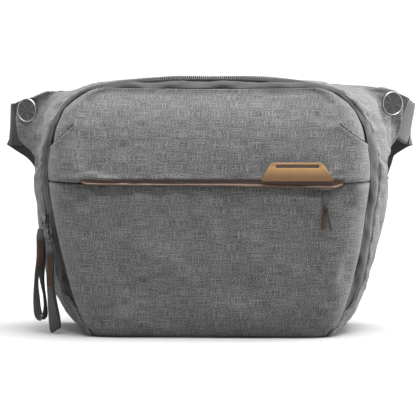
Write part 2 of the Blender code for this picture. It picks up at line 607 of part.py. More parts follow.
PULLS = []
for label, z, tilt_deg, lift_out, foot in (("upper", SLIDER_Z[0], 28, 0.2, Vector((-152.6, -23.0, 13.5))),
                                           ("lower", SLIDER_Z[1], 80, 2.3, Vector((-137.2, -31.5, 4.2)))):
    s = station_at("side", z)
    here = across_zip(s, 0.5)
    up = (across_zip(s + 0.1, 0.5) - across_zip(s - 0.1, 0.5))
    up.y = 0
    up.normalize()
    t = math.radians(tilt_deg)
    out = Vector((-math.cos(t), -math.sin(t), 0))
    out = (out - out.dot(up) * up).normalized()
    frame = frame_of(here + out * lift_out, up.cross(out), out)
    slider("main_slider_" + label, frame, SLIDER_SCALE)
    pivot = here + out * (lift_out + 5.0 * SLIDER_SCALE) - up * 1.2
    side_dir = up.cross(out).normalized()
    down = Vector((0, 0, -1))
    ring_centre = pivot + down * 3.2
    tube_loop("slider_ring_" + label, stadium(ring_centre, -down, side_dir, 7.0, 6.2), 0.65, "metal")
    top = pivot + down * 7.8
    # the pull: a doubled strip that hangs from the ring, turned to face forwards lower down
    stations = []
    foot_w = Vector((0.94, 0.34, 0)) if label == "upper" else Vector((0.98, -0.2, 0))
    for k in range(7):
        q = k / 6
        p = top.lerp(foot, q)
        w = (Vector((0.40, 0.92, 0)) if label == "upper" else Vector((0.86, -0.5, 0))).lerp(foot_w, smooth(q))
        stations.append((p, w))
    ribbon("zip_pull_" + label, stations, 10.0, 3.4, "webbing", 8)
    PULLS.append((label, pivot, side_dir, up))

# pocket slider and its pull, hidden under the flap
POCKET_SLIDER_X = 101.0
pocket_y = hem_depth(0)
prism("pocket_slider", rounded(9.0, 8.6, 1.6, 2, POCKET_SLIDER_X, 132.0), 2.4, "metal",
      frame_of((0, pocket_y + 1.7, 0), (1, 0, 0), (0, -1, 0)))
pull = prism("pocket_pull", rounded(8.0, 18.5, 1.2, 2, POCKET_SLIDER_X, 120.0), 1.7, "webbing",
             frame_of((0, pocket_y - 0.9, 0), (1, 0, 0), (0, -1, 0)))
loop = prism("pocket_pull_loop", rounded(9.6, 18.0, 2.6, 3, POCKET_SLIDER_X, 103.5), 4.8, "webbing",
             frame_of((0, pocket_y - 0.9, 0), (1, 0, 0), (0, -1, 0)))
eye = prism("pocket_pull_eye", rounded(3.8, 12.4, 1.6, 3, POCKET_SLIDER_X, 103.2), 14, "webbing",
            frame_of((0, pocket_y + 4, 0), (1, 0, 0), (0, -1, 0)))
cut(pull, [loop], "UNION")
cut(pull, [eye])

# ---------------------------------------------------------------- dividers with folding upper flaps
for side, sign in (("left", -1), ("right", 1)):
    x0 = sign * DIVIDER_X - DIVIDER_T / 2
    for part, z0, z1 in (("divider_", 8.4, DIVIDER_HINGE_Z - 0.3), ("divider_flap_", DIVIDER_HINGE_Z + 0.3, 158.0)):
        outline = [(-40, z0), (32.5, z0), (32.5, z1 - (6 if z1 > 150 else 0)), (26.5 if z1 > 150 else 32.5, z1),
                   (-34 if z1 > 150 else -40, z1), (-40, z1 - (6 if z1 > 150 else 0))]
        shape = []
        for p in outline:
            if not shape or (abs(p[0] - shape[-1][0]) + abs(p[1] - shape[-1][1])) > 0.1:
                shape.append(p)
        prism(part + side, shape, DIVIDER_T, "lining",
              Matrix(((0, 0, 1, x0), (1, 0, 0, 0), (0, 1, 0, 0), (0, 0, 0, 1))), bevel=1.2)

cut(bpy.data.objects["leather_tab"], [bpy.data.objects["tab_slot_cutter"]])


# ---------------------------------------------------------------- origins of moving pieces, on their joints' axes
def hang(pivot, *names):
    """Puts the origin of each named piece on its pivot; the piece itself stays where it is."""
    for name in names:
        obj = bpy.data.objects[name]
        obj.data.transform(Matrix.Translation(-Vector(pivot) * MM))
        obj.location = Vector(pivot) * MM


FOLD = Vector((0, FOLD_Y, FOLD_Z))
hang(FOLD, "front_panel_upper", "front_panel_lower", "pocket_zip_tape", "pocket_lining", "pocket_hem", "leather_tab",
     "front_gusset", "main_zip_front")
for label, pivot, side_dir, up in PULLS:
    hang(pivot, "main_slider_" + label, "slider_ring_" + label, "zip_pull_" + label)
POCKET_PIVOT = Vector((POCKET_SLIDER_X, pocket_y - 1.35, 129.0))
hang(POCKET_PIVOT, "pocket_slider", "pocket_pull")
for side, (centre, normal) in ANCHOR_PIVOT.items():
    hang(centre, "strap_anchor_" + side)
TAB_PIVOT = tab_frame @ Vector((0, 0, 0.9))
hang(adj_centre, "strap_adjuster")
hang(TAB_PIVOT, "adjuster_pull_tab")
FLAP_PIVOT = {"left": Vector((-DIVIDER_X - DIVIDER_T / 2, 0, DIVIDER_HINGE_Z)),
              "right": Vector((DIVIDER_X + DIVIDER_T / 2, 0, DIVIDER_HINGE_Z))}
for side, pivot in FLAP_PIVOT.items():
    hang(pivot, "divider_" + side, "divider_flap_" + side)
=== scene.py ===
"""Looks of the camera sling bag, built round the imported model. Lengths in the tables are in millimetres."""

import json
import math

import bmesh
import bpy
import numpy as np
from mathutils import Matrix, Vector


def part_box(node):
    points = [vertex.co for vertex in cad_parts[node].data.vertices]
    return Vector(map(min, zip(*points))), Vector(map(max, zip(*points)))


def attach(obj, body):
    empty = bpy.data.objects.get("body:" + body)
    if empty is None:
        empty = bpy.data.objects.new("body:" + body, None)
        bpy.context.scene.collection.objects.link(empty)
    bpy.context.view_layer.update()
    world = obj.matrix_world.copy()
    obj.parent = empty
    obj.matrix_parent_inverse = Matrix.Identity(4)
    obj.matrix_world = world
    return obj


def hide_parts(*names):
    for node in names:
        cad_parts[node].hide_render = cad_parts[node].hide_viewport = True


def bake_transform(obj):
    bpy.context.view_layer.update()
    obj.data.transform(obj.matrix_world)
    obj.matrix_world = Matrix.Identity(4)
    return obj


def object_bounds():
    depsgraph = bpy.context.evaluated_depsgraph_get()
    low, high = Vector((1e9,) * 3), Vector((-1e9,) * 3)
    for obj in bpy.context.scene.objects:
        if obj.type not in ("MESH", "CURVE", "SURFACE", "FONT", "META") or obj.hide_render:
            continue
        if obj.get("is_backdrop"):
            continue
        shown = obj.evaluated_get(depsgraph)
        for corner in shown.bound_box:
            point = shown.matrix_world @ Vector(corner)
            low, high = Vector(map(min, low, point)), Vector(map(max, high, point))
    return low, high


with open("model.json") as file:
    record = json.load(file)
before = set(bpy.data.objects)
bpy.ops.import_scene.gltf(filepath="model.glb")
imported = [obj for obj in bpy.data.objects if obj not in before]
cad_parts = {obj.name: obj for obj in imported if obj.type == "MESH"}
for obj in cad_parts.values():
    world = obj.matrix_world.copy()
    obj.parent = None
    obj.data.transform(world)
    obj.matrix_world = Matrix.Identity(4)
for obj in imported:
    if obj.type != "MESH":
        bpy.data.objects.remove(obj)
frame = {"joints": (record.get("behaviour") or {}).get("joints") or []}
CAD_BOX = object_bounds()
MM = 0.001
scene = bpy.context.scene
REC_JOINTS = {j["name"]: j for j in frame["joints"]}

# ================================================================ camera, floor and light
D = 2.288
AZ, EL = math.radians(2.0), math.radians(4.0)
aim = Vector((-0.0009, 0.0, 0.1065))
cam_data = bpy.data.cameras.new("camera")
cam = bpy.data.objects.new("camera", cam_data)
scene.collection.objects.link(cam)
cam.location = aim + D * Vector((math.sin(AZ) * math.cos(EL), -math.cos(AZ) * math.cos(EL), math.sin(EL)))
cam.rotation_euler = (aim - cam.location).to_track_quat("-Z", "Y").to_euler()
cam_data.lens, cam_data.sensor_width = 221.8, 36.0
cam_data.clip_start, cam_data.clip_end = 0.05, 60
scene.camera = cam
scene.view_settings.view_transform = "Standard"
scene.view_settings.look = "None"


def new_material(name):
    mat = bpy.data.materials.new(name)
    mat.use_nodes = True
    tree = mat.node_tree
    for node in list(tree.nodes):
        tree.nodes.remove(node)
    out = tree.nodes.new("ShaderNodeOutputMaterial")
    bsdf = tree.nodes.new("ShaderNodeBsdfPrincipled")
    tree.links.new(bsdf.outputs[0], out.inputs[0])
    return mat, tree, bsdf


def link(tree, a, b):
    tree.links.new(a, b)


def math_node(tree, op, a, b=None, clamp=False):
    node = tree.nodes.new("ShaderNodeMath")
    node.operation, node.use_clamp = op, clamp
    for i, value in enumerate((a, b)):
        if value is None:
            continue
        if isinstance(value, (int, float)):
            node.inputs[i].default_value = value
        else:
            link(tree, value, node.inputs[i])
    return node.outputs[0]


def coords(tree, scale, kind="UV"):
    tc = tree.nodes.new("ShaderNodeTexCoord")
    mapping = tree.nodes.new("ShaderNodeMapping")
    mapping.inputs["Scale"].default_value = scale
    link(tree, tc.outputs[kind], mapping.inputs["Vector"])
    return mapping.outputs[0]


def noise_tex(tree, vector, scale=1.0, detail=2.0, rough=0.5):
    node = tree.nodes.new("ShaderNodeTexNoise")
    node.inputs["Scale"].default_value = scale
    node.inputs["Detail"].default_value = detail
    node.inputs["Roughness"].default_value = rough
    link(tree, vector, node.inputs["Vector"])
    return node.outputs["Fac"]


def ramp(tree, value, stops):
    node = tree.nodes.new("ShaderNodeValToRGB")
    el = node.color_ramp.elements
    while len(el) < len(stops):
        el.new(0.5)
    for e, (pos, col) in zip(el, stops):
        e.position = pos
        e.color = (*col, 1) if len(col) == 3 else col
    link(tree, value, node.inputs[0])
    return node.outputs[0]


def mix_rgb(tree, fac, a, b, mode="MIX"):
    node = tree.nodes.new("ShaderNodeMix")
    node.data_type, node.blend_type = "RGBA", mode
    for sock, value in ((node.inputs[0], fac), (node.inputs[6], a), (node.inputs[7], b)):
        if isinstance(value, (int, float)):
            sock.default_value = value
        elif isinstance(value, tuple):
            sock.default_value = (*value, 1)
        else:
            link(tree, value, sock)
    return node.outputs[2]


def bump(tree, bsdf, height, strength, distance):
    node = tree.nodes.new("ShaderNodeBump")
    node.inputs["Strength"].default_value = strength
    node.inputs["Distance"].default_value = distance
    link(tree, height, node.inputs["Height"])
    link(tree, node.outputs[0], bsdf.inputs["Normal"])


def wave(tree, vector, axis, scale):
    """A sine along one axis of a vector in millimetres; scale is waves per millimetre."""
    sep = tree.nodes.new("ShaderNodeSeparateXYZ")
    link(tree, vector, sep.inputs[0])
    return math_node(tree, "SINE", math_node(tree, "MULTIPLY", sep.outputs[axis], 2 * math.pi * scale))


# UVs of every piece are lengths along its surface, 1.0 = 100 mm
UVMM = 100.0


def heather(name, dark, light, blotch=0.045, sheen=0.12):
    """Two-tone woven polyester: slubby warp and weft threads."""
    mat, tree, bsdf = new_material(name)
    mm = coords(tree, (UVMM, UVMM, UVMM))
    warp = noise_tex(tree, coords(tree, (UVMM * 1.9, UVMM * 0.10, 1)), 1.0, 0.0)
    weft = noise_tex(tree, coords(tree, (UVMM * 0.06, UVMM * 1.9, 1)), 1.0, 0.0)
    grain = noise_tex(tree, coords(tree, (UVMM * 1.15, UVMM * 1.25, 1)), 1.0, 0.0)
    fine = noise_tex(tree, coords(tree, (UVMM * 2.4, UVMM * 2.2, 1)), 1.0, 0.0)
    slub = math_node(tree, "MAXIMUM", warp, weft)
    total = math_node(tree, "ADD", math_node(tree, "MULTIPLY", slub, 0.34),
                      math_node(tree, "ADD", math_node(tree, "MULTIPLY", grain, 0.36), math_node(tree, "MULTIPLY", fine, 0.30)))
    tone = ramp(tree, total, [(0.43, dark), (0.525, tuple(a * 0.60 + b * 0.40 for a, b in zip(dark, light))), (0.645, light)])
    big = noise_tex(tree, coords(tree, (UVMM * 0.03, UVMM * 0.03, 1)), 1.0, 3.0)
    shade = ramp(tree, big, [(0.3, (1 - blotch,) * 3), (0.7, (1 + blotch,) * 3)])
    col = mix_rgb(tree, 1.0, tone, shade, "MULTIPLY")
    weave = math_node(tree, "MULTIPLY", wave(tree, mm, 0, 1.25), wave(tree, mm, 1, 1.25))
    link(tree, col, bsdf.inputs["Base Color"])
    bsdf.inputs["Roughness"].default_value = 0.88
    bsdf.inputs["Specular IOR Level"].default_value = 0.18
    bsdf.inputs["Sheen Weight"].default_value = sheen
    bsdf.inputs["Sheen Roughness"].default_value = 0.5
    height = math_node(tree, "ADD", math_node(tree, "MULTIPLY", weave, 0.25), total)
    bump(tree, bsdf, height, 0.55, 0.00035)
    return mat


def nylon(name, base, rib=2.0, rough=0.62, var=0.10, strength=0.35, shade_tone=None):
    """Plain smooth nylon with a fine rib and soft crumple. The optional last colour is painted shade, mixed in as far
    as the point attribute "shade" goes towards 1.
    """
    mat, tree, bsdf = new_material(name)
    mm = coords(tree, (UVMM, UVMM, UVMM))
    big = noise_tex(tree, coords(tree, (UVMM * 0.06, UVMM * 0.06, 1)), 1.0, 4.0)
    small = noise_tex(tree, coords(tree, (UVMM * 1.6, UVMM * 1.6, 1)), 1.0, 1.0)
    both = math_node(tree, "ADD", math_node(tree, "MULTIPLY", big, 0.55), math_node(tree, "MULTIPLY", small, 0.45))
    lo, hi = tuple(c * (1 - var) for c in base), tuple(min(1, c * (1 + var)) for c in base)
    col = ramp(tree, both, [(0.35, lo), (0.65, hi)])
    if shade_tone is not None:
        attr = tree.nodes.new("ShaderNodeAttribute")
        attr.attribute_name = "shade"
        col = mix_rgb(tree, attr.outputs["Fac"], col, shade_tone)
    link(tree, col, bsdf.inputs["Base Color"])
    bsdf.inputs["Roughness"].default_value = rough
    bsdf.inputs["Specular IOR Level"].default_value = 0.3
    bsdf.inputs["Sheen Weight"].default_value = 0.08
    height = math_node(tree, "ADD", math_node(tree, "MULTIPLY", wave(tree, mm, 0, rib), 0.35),
                       math_node(tree, "ADD", math_node(tree, "MULTIPLY", wave(tree, mm, 1, rib), 0.2),
                                 math_node(tree, "MULTIPLY", big, 2.0)))
    bump(tree, bsdf, height, strength, 0.0003)
    return mat


def webbing_mat(name, base, rough=0.5):
    """Seat-belt webbing: fine ribs along its length, u across, v along."""
    mat, tree, bsdf = new_material(name)
    mm = coords(tree, (UVMM, UVMM, UVMM))
    streak = noise_tex(tree, coords(tree, (UVMM * 1.1, UVMM * 0.03, 1)), 1.0, 2.0)
    cross = noise_tex(tree, coords(tree, (UVMM * 0.15, UVMM * 1.6, 1)), 1.0, 1.0)
    both = math_node(tree, "ADD", math_node(tree, "MULTIPLY", streak, 0.6), math_node(tree, "MULTIPLY", cross, 0.4))
    lo, hi = tuple(c * 0.82 for c in base), tuple(c * 1.2 for c in base)
    link(tree, ramp(tree, both, [(0.35, lo), (0.65, hi)]), bsdf.inputs["Base Color"])
    bsdf.inputs["Roughness"].default_value = rough
    bsdf.inputs["Specular IOR Level"].default_value = 0.3
    bsdf.inputs["Sheen Weight"].default_value = 0.03
    ribs = math_node(tree, "ADD", math_node(tree, "MULTIPLY", wave(tree, mm, 0, 0.62), 0.7),
                     math_node(tree, "MULTIPLY", wave(tree, mm, 1, 1.1), 0.35))
    bump(tree, bsdf, ribs, 0.5, 0.00025)
    return mat


def leather_mat(name, stops, rough=0.42, wear=0.5):
    """Leather with a fine grain; stops run over v, the height across the piece (0 to 1 in the vertex colour), and paint
    shade and highlight onto it.
    """
    mat, tree, bsdf = new_material(name)
    attr = tree.nodes.new("ShaderNodeAttribute")
    attr.attribute_name = "shade"
    grain = noise_tex(tree, coords(tree, (UVMM * 1.1, UVMM * 1.1, 1)), 1.0, 5.0, 0.62)
    patches = noise_tex(tree, coords(tree, (UVMM * 0.12, UVMM * 0.12, 1)), 1.0, 3.0)
    base = ramp(tree, attr.outputs["Fac"], stops)
    tint = ramp(tree, math_node(tree, "ADD", math_node(tree, "MULTIPLY", grain, 0.5), math_node(tree, "MULTIPLY", patches, 0.5)),
                [(0.3, (0.74, 0.70, 0.66)), (0.5, (1, 1, 1)), (0.72, (1.18, 1.16, 1.12))])
    link(tree, mix_rgb(tree, wear, base, mix_rgb(tree, 1.0, base, tint, "MULTIPLY")), bsdf.inputs["Base Color"])
    bsdf.inputs["Roughness"].default_value = rough
    bsdf.inputs["Specular IOR Level"].default_value = 0.45
    cells = tree.nodes.new("ShaderNodeTexVoronoi")
    cells.inputs["Scale"].default_value = 1.0
    link(tree, coords(tree, (UVMM * 1.7, UVMM * 1.7, 1)), cells.inputs["Vector"])
    bump(tree, bsdf, math_node(tree, "ADD", cells.outputs["Distance"], grain), 0.35, 0.00025)
    return mat


def metal_mat(name, base, rough=0.32, scratch=0.10):
    mat, tree, bsdf = new_material(name)
    mm = coords(tree, (900, 900, 900), "Object")
    n = noise_tex(tree, mm, 1.0, 4.0)
    link(tree, ramp(tree, n, [(0.3, tuple(c * (1 - scratch) for c in base)), (0.7, tuple(min(1, c * (1 + scratch)) for c in base))]), bsdf.inputs["Base Color"])
    bsdf.inputs["Metallic"].default_value = 1.0
    bsdf.inputs["Roughness"].default_value = rough
    bump(tree, bsdf, n, 0.12, 0.00008)
    return mat


def disc_mat(name):
    """Lathe-turned aluminium with painted reflections: sectors of light and dark run out from the middle, as the turned
    rings would reflect the room, and the point attribute "shade" paints a highlight; u is the turn, v the radius.
    """
    mat, tree, bsdf = new_material(name)
    attr = tree.nodes.new("ShaderNodeAttribute")
    attr.attribute_name = "shade"
    uvn = coords(tree, (UVMM * 0.16, 0.0, 1))
    sectors = noise_tex(tree, uvn, 1.0, 2.0)
    rings = noise_tex(tree, coords(tree, (UVMM * 0.05, UVMM * 9.0, 1)), 1.0, 1.0)
    both = math_node(tree, "ADD", math_node(tree, "MULTIPLY", sectors, 0.8), math_node(tree, "MULTIPLY", rings, 0.2))
    face = ramp(tree, both, [(0.34, (0.045, 0.045, 0.045)), (0.5, (0.075, 0.075, 0.075)), (0.66, (0.14, 0.14, 0.14))])
    # painted highlight: towards pale grey as the point attribute "shade" goes to 1
    col = mix_rgb(tree, attr.outputs["Fac"], face, (0.52, 0.52, 0.52))
    link(tree, col, bsdf.inputs["Base Color"])
    bsdf.inputs["Metallic"].default_value = 0.9
    bsdf.inputs["Roughness"].default_value = 0.40
    bump(tree, bsdf, rings, 0.25, 0.0001)
    return mat


def plain_detail(name, base, rough=0.6, scale=900.0, var=0.15, sheen=0.0):
    mat, tree, bsdf = new_material(name)
    n = noise_tex(tree, coords(tree, (scale,) * 3, "Object"), 1.0, 3.0)
    link(tree, ramp(tree, n, [(0.3, tuple(c * (1 - var) for c in base)), (0.7, tuple(min(1, c * (1 + var)) for c in base))]), bsdf.inputs["Base Color"])
    bsdf.inputs["Roughness"].default_value = rough
    bsdf.inputs["Sheen Weight"].default_value = sheen
    bump(tree, bsdf, n, 0.3, 0.0002)
    return mat


M = {
    "heather": heather("heather_weave", (0.034, 0.034, 0.034), (0.215, 0.215, 0.214)),
    "nylon": nylon("smooth_nylon", (0.062, 0.0625, 0.0635)),
    # gusset strip: its last colour is painted shade, laid on by the point attribute "shade"
    "nylon_band": nylon("gusset_nylon", (0.062, 0.0625, 0.0635), shade_tone=(0.009, 0.0091, 0.0093)),
    "nylon_base": nylon("base_nylon", (0.06, 0.0605, 0.0615), 1.2),
    "lining": nylon("light_lining", (0.36, 0.37, 0.385), 3.0, 0.8, 0.06, 0.2),
    "felt": plain_detail("divider_felt", (0.30, 0.305, 0.315), 0.95, 2600.0, 0.22, 0.35),
    "web": webbing_mat("strap_webbing", (0.023, 0.0235, 0.024)),
    "web_pull": webbing_mat("pull_webbing", (0.056, 0.057, 0.057), 0.7),
    "rust": webbing_mat("pull_insert", (0.055, 0.026, 0.015), 0.8),
    "zip_tape": nylon("zip_tape", (0.018, 0.018, 0.019), 1.6, 0.7),
    "teeth": plain_detail("zip_teeth", (0.012, 0.012, 0.013), 0.5, 2500.0, 0.2),
    "thread": plain_detail("sewing_thread", (0.075, 0.075, 0.077), 0.7, 4000.0, 0.25),
    # near-black wire in the dart creases: painted shadow
    "seam": plain_detail("closed_seam", (0.012, 0.012, 0.012), 0.9, 3000.0, 0.3),
    "thread_dark": plain_detail("dark_thread", (0.025, 0.025, 0.026), 0.7, 4000.0, 0.25),
    "thread_tan": plain_detail("tan_thread", (0.24, 0.14, 0.065), 0.7, 4000.0, 0.2),
    "thread_hem": plain_detail("hem_thread", (0.05, 0.026, 0.014), 0.7, 4000.0, 0.2),
    # hem: the stops paint light, darkest at 0 for the shadow up under the flap, lightest at 1 for the lit rolled lip
    "hem": leather_mat("hem_leather", [(0.0, (0.020, 0.009, 0.005)), (0.20, (0.055, 0.026, 0.013)), (0.5, (0.070, 0.036, 0.020)), (0.75, (0.078, 0.042, 0.025)), (1.0, (0.15, 0.082, 0.045))]),
    # tab: on the leather's tan, the stops paint shade darker towards the bottom and a highlight band high up, a little
    # less bright at the very top
    "tab": leather_mat("tan_leather", [(0.0, (0.135, 0.070, 0.031)), (0.30, (0.19, 0.102, 0.044)), (0.52, (0.30, 0.168, 0.068)), (0.74, (0.42, 0.245, 0.098)), (1.0, (0.25, 0.135, 0.055))], 0.42),
    "steel": metal_mat("dull_nickel", (0.13, 0.13, 0.135), 0.36),
    "alloy": metal_mat("brushed_alloy", (0.16, 0.16, 0.165), 0.38),
    "disc": disc_mat("turned_disc"),
    "mesh": nylon("spacer_mesh", (0.10, 0.101, 0.104), 0.55, 0.85, 0.14, 0.8),
}

# ================================================================ the bag's curves, as the frame has them
SEAM = [(102, 4.7, -51), (110.5, 13, -46), (121, 41, -40), (126.5, 62.5, -37), (133, 92, -35.5), (138.3, 123, -34.5),
        (139.8, 144, -34), (137.3, 165.5, -33.5), (132, 185, -32.5), (119.5, 203.5, -31.5), (94.5, 215.5, -31),
        (47, 216, -31), (0, 216, -31)]
GUSSET = [(104.5, 4.7, -42), (114.5, 13, -35), (127.5, 41, -28), (132.6, 62.5, -25.5), (137.8, 92, -24.5),
          (143, 123, -24), (144.5, 145, -23.5), (142, 167, -23.5), (134.8, 187, -23.5), (120.8, 205.3, -24),
          (95, 217.3, -24), (47, 219.8, -24), (0, 220.4, -24)]
SIDE = [(107, 4.7, -36), (118, 13, -26), (134.5, 41, -17), (140, 62.5, -14), (145.3, 92, -13), (150.6, 123, -12.5),
        (151.8, 146, -12), (147.5, 169, -12), (139, 190.5, -12), (122.8, 208.6, -13), (95.5, 218.6, -14),
        (47, 222.9, -14), (0, 224.0, -14)]
BELLY = [(116, 4.7, 5), (125.5, 13, 10), (141, 41, 13), (147.5, 62.5, 15), (153, 92, 16), (157.5, 123, 16),
         (158.3, 146, 16), (155.5, 168, 16), (149.5, 190, 16), (135, 209, 16), (104, 218.5, 16), (50, 222.4, 16),
         (0, 223.4, 16)]
REAR = [(122, 4.7, 44), (129.5, 13, 44), (143.3, 41, 44), (148.5, 62.5, 44), (154.5, 92, 44), (159, 123, 44),
        (159.3, 146, 44), (157, 167, 44), (151.5, 188, 44), (139, 206, 44), (110, 214.5, 44), (55, 216, 44), (0, 216, 44)]
FRONT_MIDDLE = [(0, -58.5), (20, -61.2), (60, -64.0), (100, -65.0), (130, -64.8), (155, -63.2), (175, -60),
                (187, -55.2), (198, -48), (208, -38.8), (216, -31)]
FOLD_Y, FOLD_Z = -62.6, 41.0
HEM_Z0, HEM_Z1 = 131.0, 137.4
FLAP_OUT = 4.5
WING_TAN = math.tan(math.radians(31.0))


def cr(points, s):
    """Catmull-Rom through points (n, d) at s (any shape), s counting points."""
    pts = np.asarray(points, float)
    pad = np.vstack([2 * pts[0] - pts[1], pts, 2 * pts[-1] - pts[-2]])
    s = np.clip(np.asarray(s, float), 0, len(pts) - 1)
    i = np.minimum(s.astype(int), len(pts) - 2)
    t = (s - i)[..., None]
    p0, p1, p2, p3 = pad[i], pad[i + 1], pad[i + 2], pad[i + 3]
    return 0.5 * (2 * p1 + (p2 - p0) * t + (2 * p0 - 5 * p1 + 4 * p2 - p3) * t ** 2 + (3 * p1 - p0 - 3 * p2 + p3) * t ** 3)


def loop_of(table):
    return np.array([(-x, y, z) for x, z, y in table] + [(x, y, z) for x, z, y in reversed(table[:-1])], float)


RING = {k: loop_of(v) for k, v in (("seam", SEAM), ("gusset", GUSSET), ("side", SIDE), ("belly", BELLY), ("rear", REAR))}


def smooth(t):
    t = np.clip(t, 0, 1)
    return t * t * (3 - 2 * t)


# how far the soft skin stands out (+) or in (-) from the symmetrical frame: height, left, right
SWAY = {
    "seam": [(0, 0, 1.0), (9, 0, 3.1), (18, 0, 3.1), (27, 0, 2.9), (36, 0.2, 2.5), (53, 0.4, 2.1), (71, 0.6, 2.2), (89, 0.8, 1.3), (107, 1.0, 0.2),
             (124, 1.1, 0), (205, 1.0, 0.2), (212, 0.4, 0), (230, 0, 0)],
    "gusset": [(0, 0, 0.8), (9, 0, 2.5), (27, 0, 2.5), (36, 0, 2.3), (53, 0, 2.1), (71, 0, 1.9), (89, 0.2, 1.4), (107, 0.2, 0.3), (124, 0.2, 0), (230, 0, 0)],
    "side": [(0, 0, 0.0), (9, 0.3, 0.5), (27, 0.6, 0.7), (53, 0.4, 1.2), (71, 0, 0.9), (89, 0, 0.7), (107, 0, 0), (230, 0, 0)],
    "belly": [(0, 0, -0.5), (9, 0.8, -1.3), (18, 2.0, -2.4), (27, 2.7, -3.3), (36, 3.9, -4.3), (53, 2.2, -5.5), (71, 0.6, -5.1), (89, 0, -3.3), (97, -0.3, -2.4),
              (115, -1.0, -1.5), (150, -1.0, -1.3), (175, 0, 0), (230, 0, 0)],
    "rear": [(0, 0, -0.5), (9, 0.8, -1.4), (18, 2.0, -2.6), (27, 2.7, -3.8), (36, 3.9, -5.0), (53, 2.2, -6.4), (71, 0.6, -6.0), (89, 0, -4.0), (97, -0.3, -3.0),
             (115, -1.0, -1.8), (150, -1.0, -1.3), (175, 0, 0), (230, 0, 0)],
}


def on(name, s):
    p = cr(RING[name], s)
    table = np.array(SWAY[name], float)
    left, right = np.interp(p[..., 2], table[:, 0], table[:, 1]), np.interp(p[..., 2], table[:, 0], table[:, 2])
    side = p[..., 0]
    p[..., 0] = side - left * smooth(-side / 40) + right * smooth(side / 40)
    return p


def lookup(table, v):
    keys = np.array([r[0] for r in table], float)
    vals = np.array([r[1:] for r in table], float)
    v = np.clip(np.asarray(v, float), keys[0], keys[-1])
    i = np.clip(np.searchsorted(keys, v, side="right") - 1, 0, len(keys) - 2)
    return cr(vals, i + (v - keys[i]) / (keys[i + 1] - keys[i]))


def seam_at(z):
    """Station where the left half of the seam reaches height z."""
    s = np.linspace(0, 10, 801)
    zz = on("seam", s)[:, 2]
    return np.interp(z, np.maximum.accumulate(zz), s)


RNG = np.random.default_rng(7)
WAVES = [(RNG.normal(size=3), RNG.uniform(0, 2 * math.pi)) for _ in range(48)]


def ripple(P, size, amp, first=0, count=14):
    """Smooth random relief of a given feature size in mm, at points P."""
    total = np.zeros(P.shape[:-1])
    for k, phase in WAVES[first:first + count]:
        total += np.sin((P @ (k / np.linalg.norm(k))) * 2 * math.pi / size * (0.7 + 0.6 * (phase / 6.3)) + phase)
    return amp * total / math.sqrt(count / 2)


# ================================================================ mesh building
def normals_of(P):
    du = np.gradient(P, axis=1)
    dv = np.gradient(P, axis=0)
    n = np.cross(du, dv)
    return n / np.maximum(np.linalg.norm(n, axis=-1, keepdims=True), 1e-9)


def arc_uv(P):
    """Lengths along rows and columns, from the middle, in mm."""
    du = np.linalg.norm(np.diff(P, axis=1), axis=-1)
    u = np.concatenate([np.zeros((P.shape[0], 1)), np.cumsum(du, axis=1)], axis=1)
    u = u - u[:, -1:] / 2
    dv = np.linalg.norm(np.diff(P, axis=0), axis=-1)
    v = np.concatenate([np.zeros((1, P.shape[1])), np.cumsum(dv, axis=0)], axis=0)
    v = np.broadcast_to(v.mean(axis=1, keepdims=True), v.shape)
    return np.stack([u, v], axis=-1)


def edge_distance(P, edges):
    """Distance in mm along the surface to the nearest of the named edges (l, r, b, t)."""
    du = np.linalg.norm(np.diff(P, axis=1), axis=-1)
    dv = np.linalg.norm(np.diff(P, axis=0), axis=-1)
    d = np.full(P.shape[:2], 1e9)
    cu = np.concatenate([np.zeros((P.shape[0], 1)), np.cumsum(du, axis=1)], axis=1)
    cv = np.concatenate([np.zeros((1, P.shape[1])), np.cumsum(dv, axis=0)], axis=0)
    if "l" in edges:
        d = np.minimum(d, cu)
    if "r" in edges:
        d = np.minimum(d, cu[:, -1:] - cu)
    if "b" in edges:
        d = np.minimum(d, cv)
    if "t" in edges:
        d = np.minimum(d, cv[-1:] - cv)
    return d


def params(n, length, r, ends=(True, True)):
    """Parameters 0 to 1 with extra ones near the ends, for a rolled edge of radius r."""
    near = [0, 0.05, 0.18, 0.38, 0.65, 1.0]
    p = list(np.linspace(0, 1, n))
    k = r / length
    if ends[0]:
        p = [v for v in p if v > k * 1.3] + [v * k for v in near]
    if ends[1]:
        p = [v for v in p if v < 1 - k * 1.3] + [1 - v * k for v in near]
    return np.array(sorted(set(np.round(p, 7))))


def make_mesh(name, verts, faces, uvs=None, mats=(), face_mat=None, shade=None, smooth_shade=True, auto=None):
    mesh = bpy.data.meshes.new(name)
    mesh.from_pydata((np.asarray(verts) * MM).tolist(), [], [tuple(f) for f in faces])
    if uvs is not None:
        layer = mesh.uv_layers.new(name="UVMap")
        idx = np.empty(len(mesh.loops), np.int32)
        mesh.loops.foreach_get("vertex_index", idx)
        layer.data.foreach_set("uv", (np.asarray(uvs)[idx] / UVMM).astype(np.float32).ravel())
    if shade is not None:
        attr = mesh.attributes.new("shade", "FLOAT", "POINT")
        attr.data.foreach_set("value", np.asarray(shade, np.float32))
    for mat in mats:
        mesh.materials.append(M[mat] if isinstance(mat, str) else mat)
    if face_mat is not None:
        mesh.polygons.foreach_set("material_index", np.asarray(face_mat, np.int32))
    if smooth_shade:
        mesh.shade_smooth()
    if auto:
        mesh.set_sharp_from_angle(angle=math.radians(auto))
    obj = bpy.data.objects.new(name, mesh)
    scene.collection.objects.link(obj)
    return obj


def grid_faces(R, C, offset=0, flip=False):
    i, j = np.meshgrid(np.arange(R - 1), np.arange(C - 1), indexing="ij")
    a = (offset + i * C + j).ravel()
    f = np.stack([a, a + 1, a + C + 1, a + C], axis=-1)
    return f[:, ::-1] if flip else f


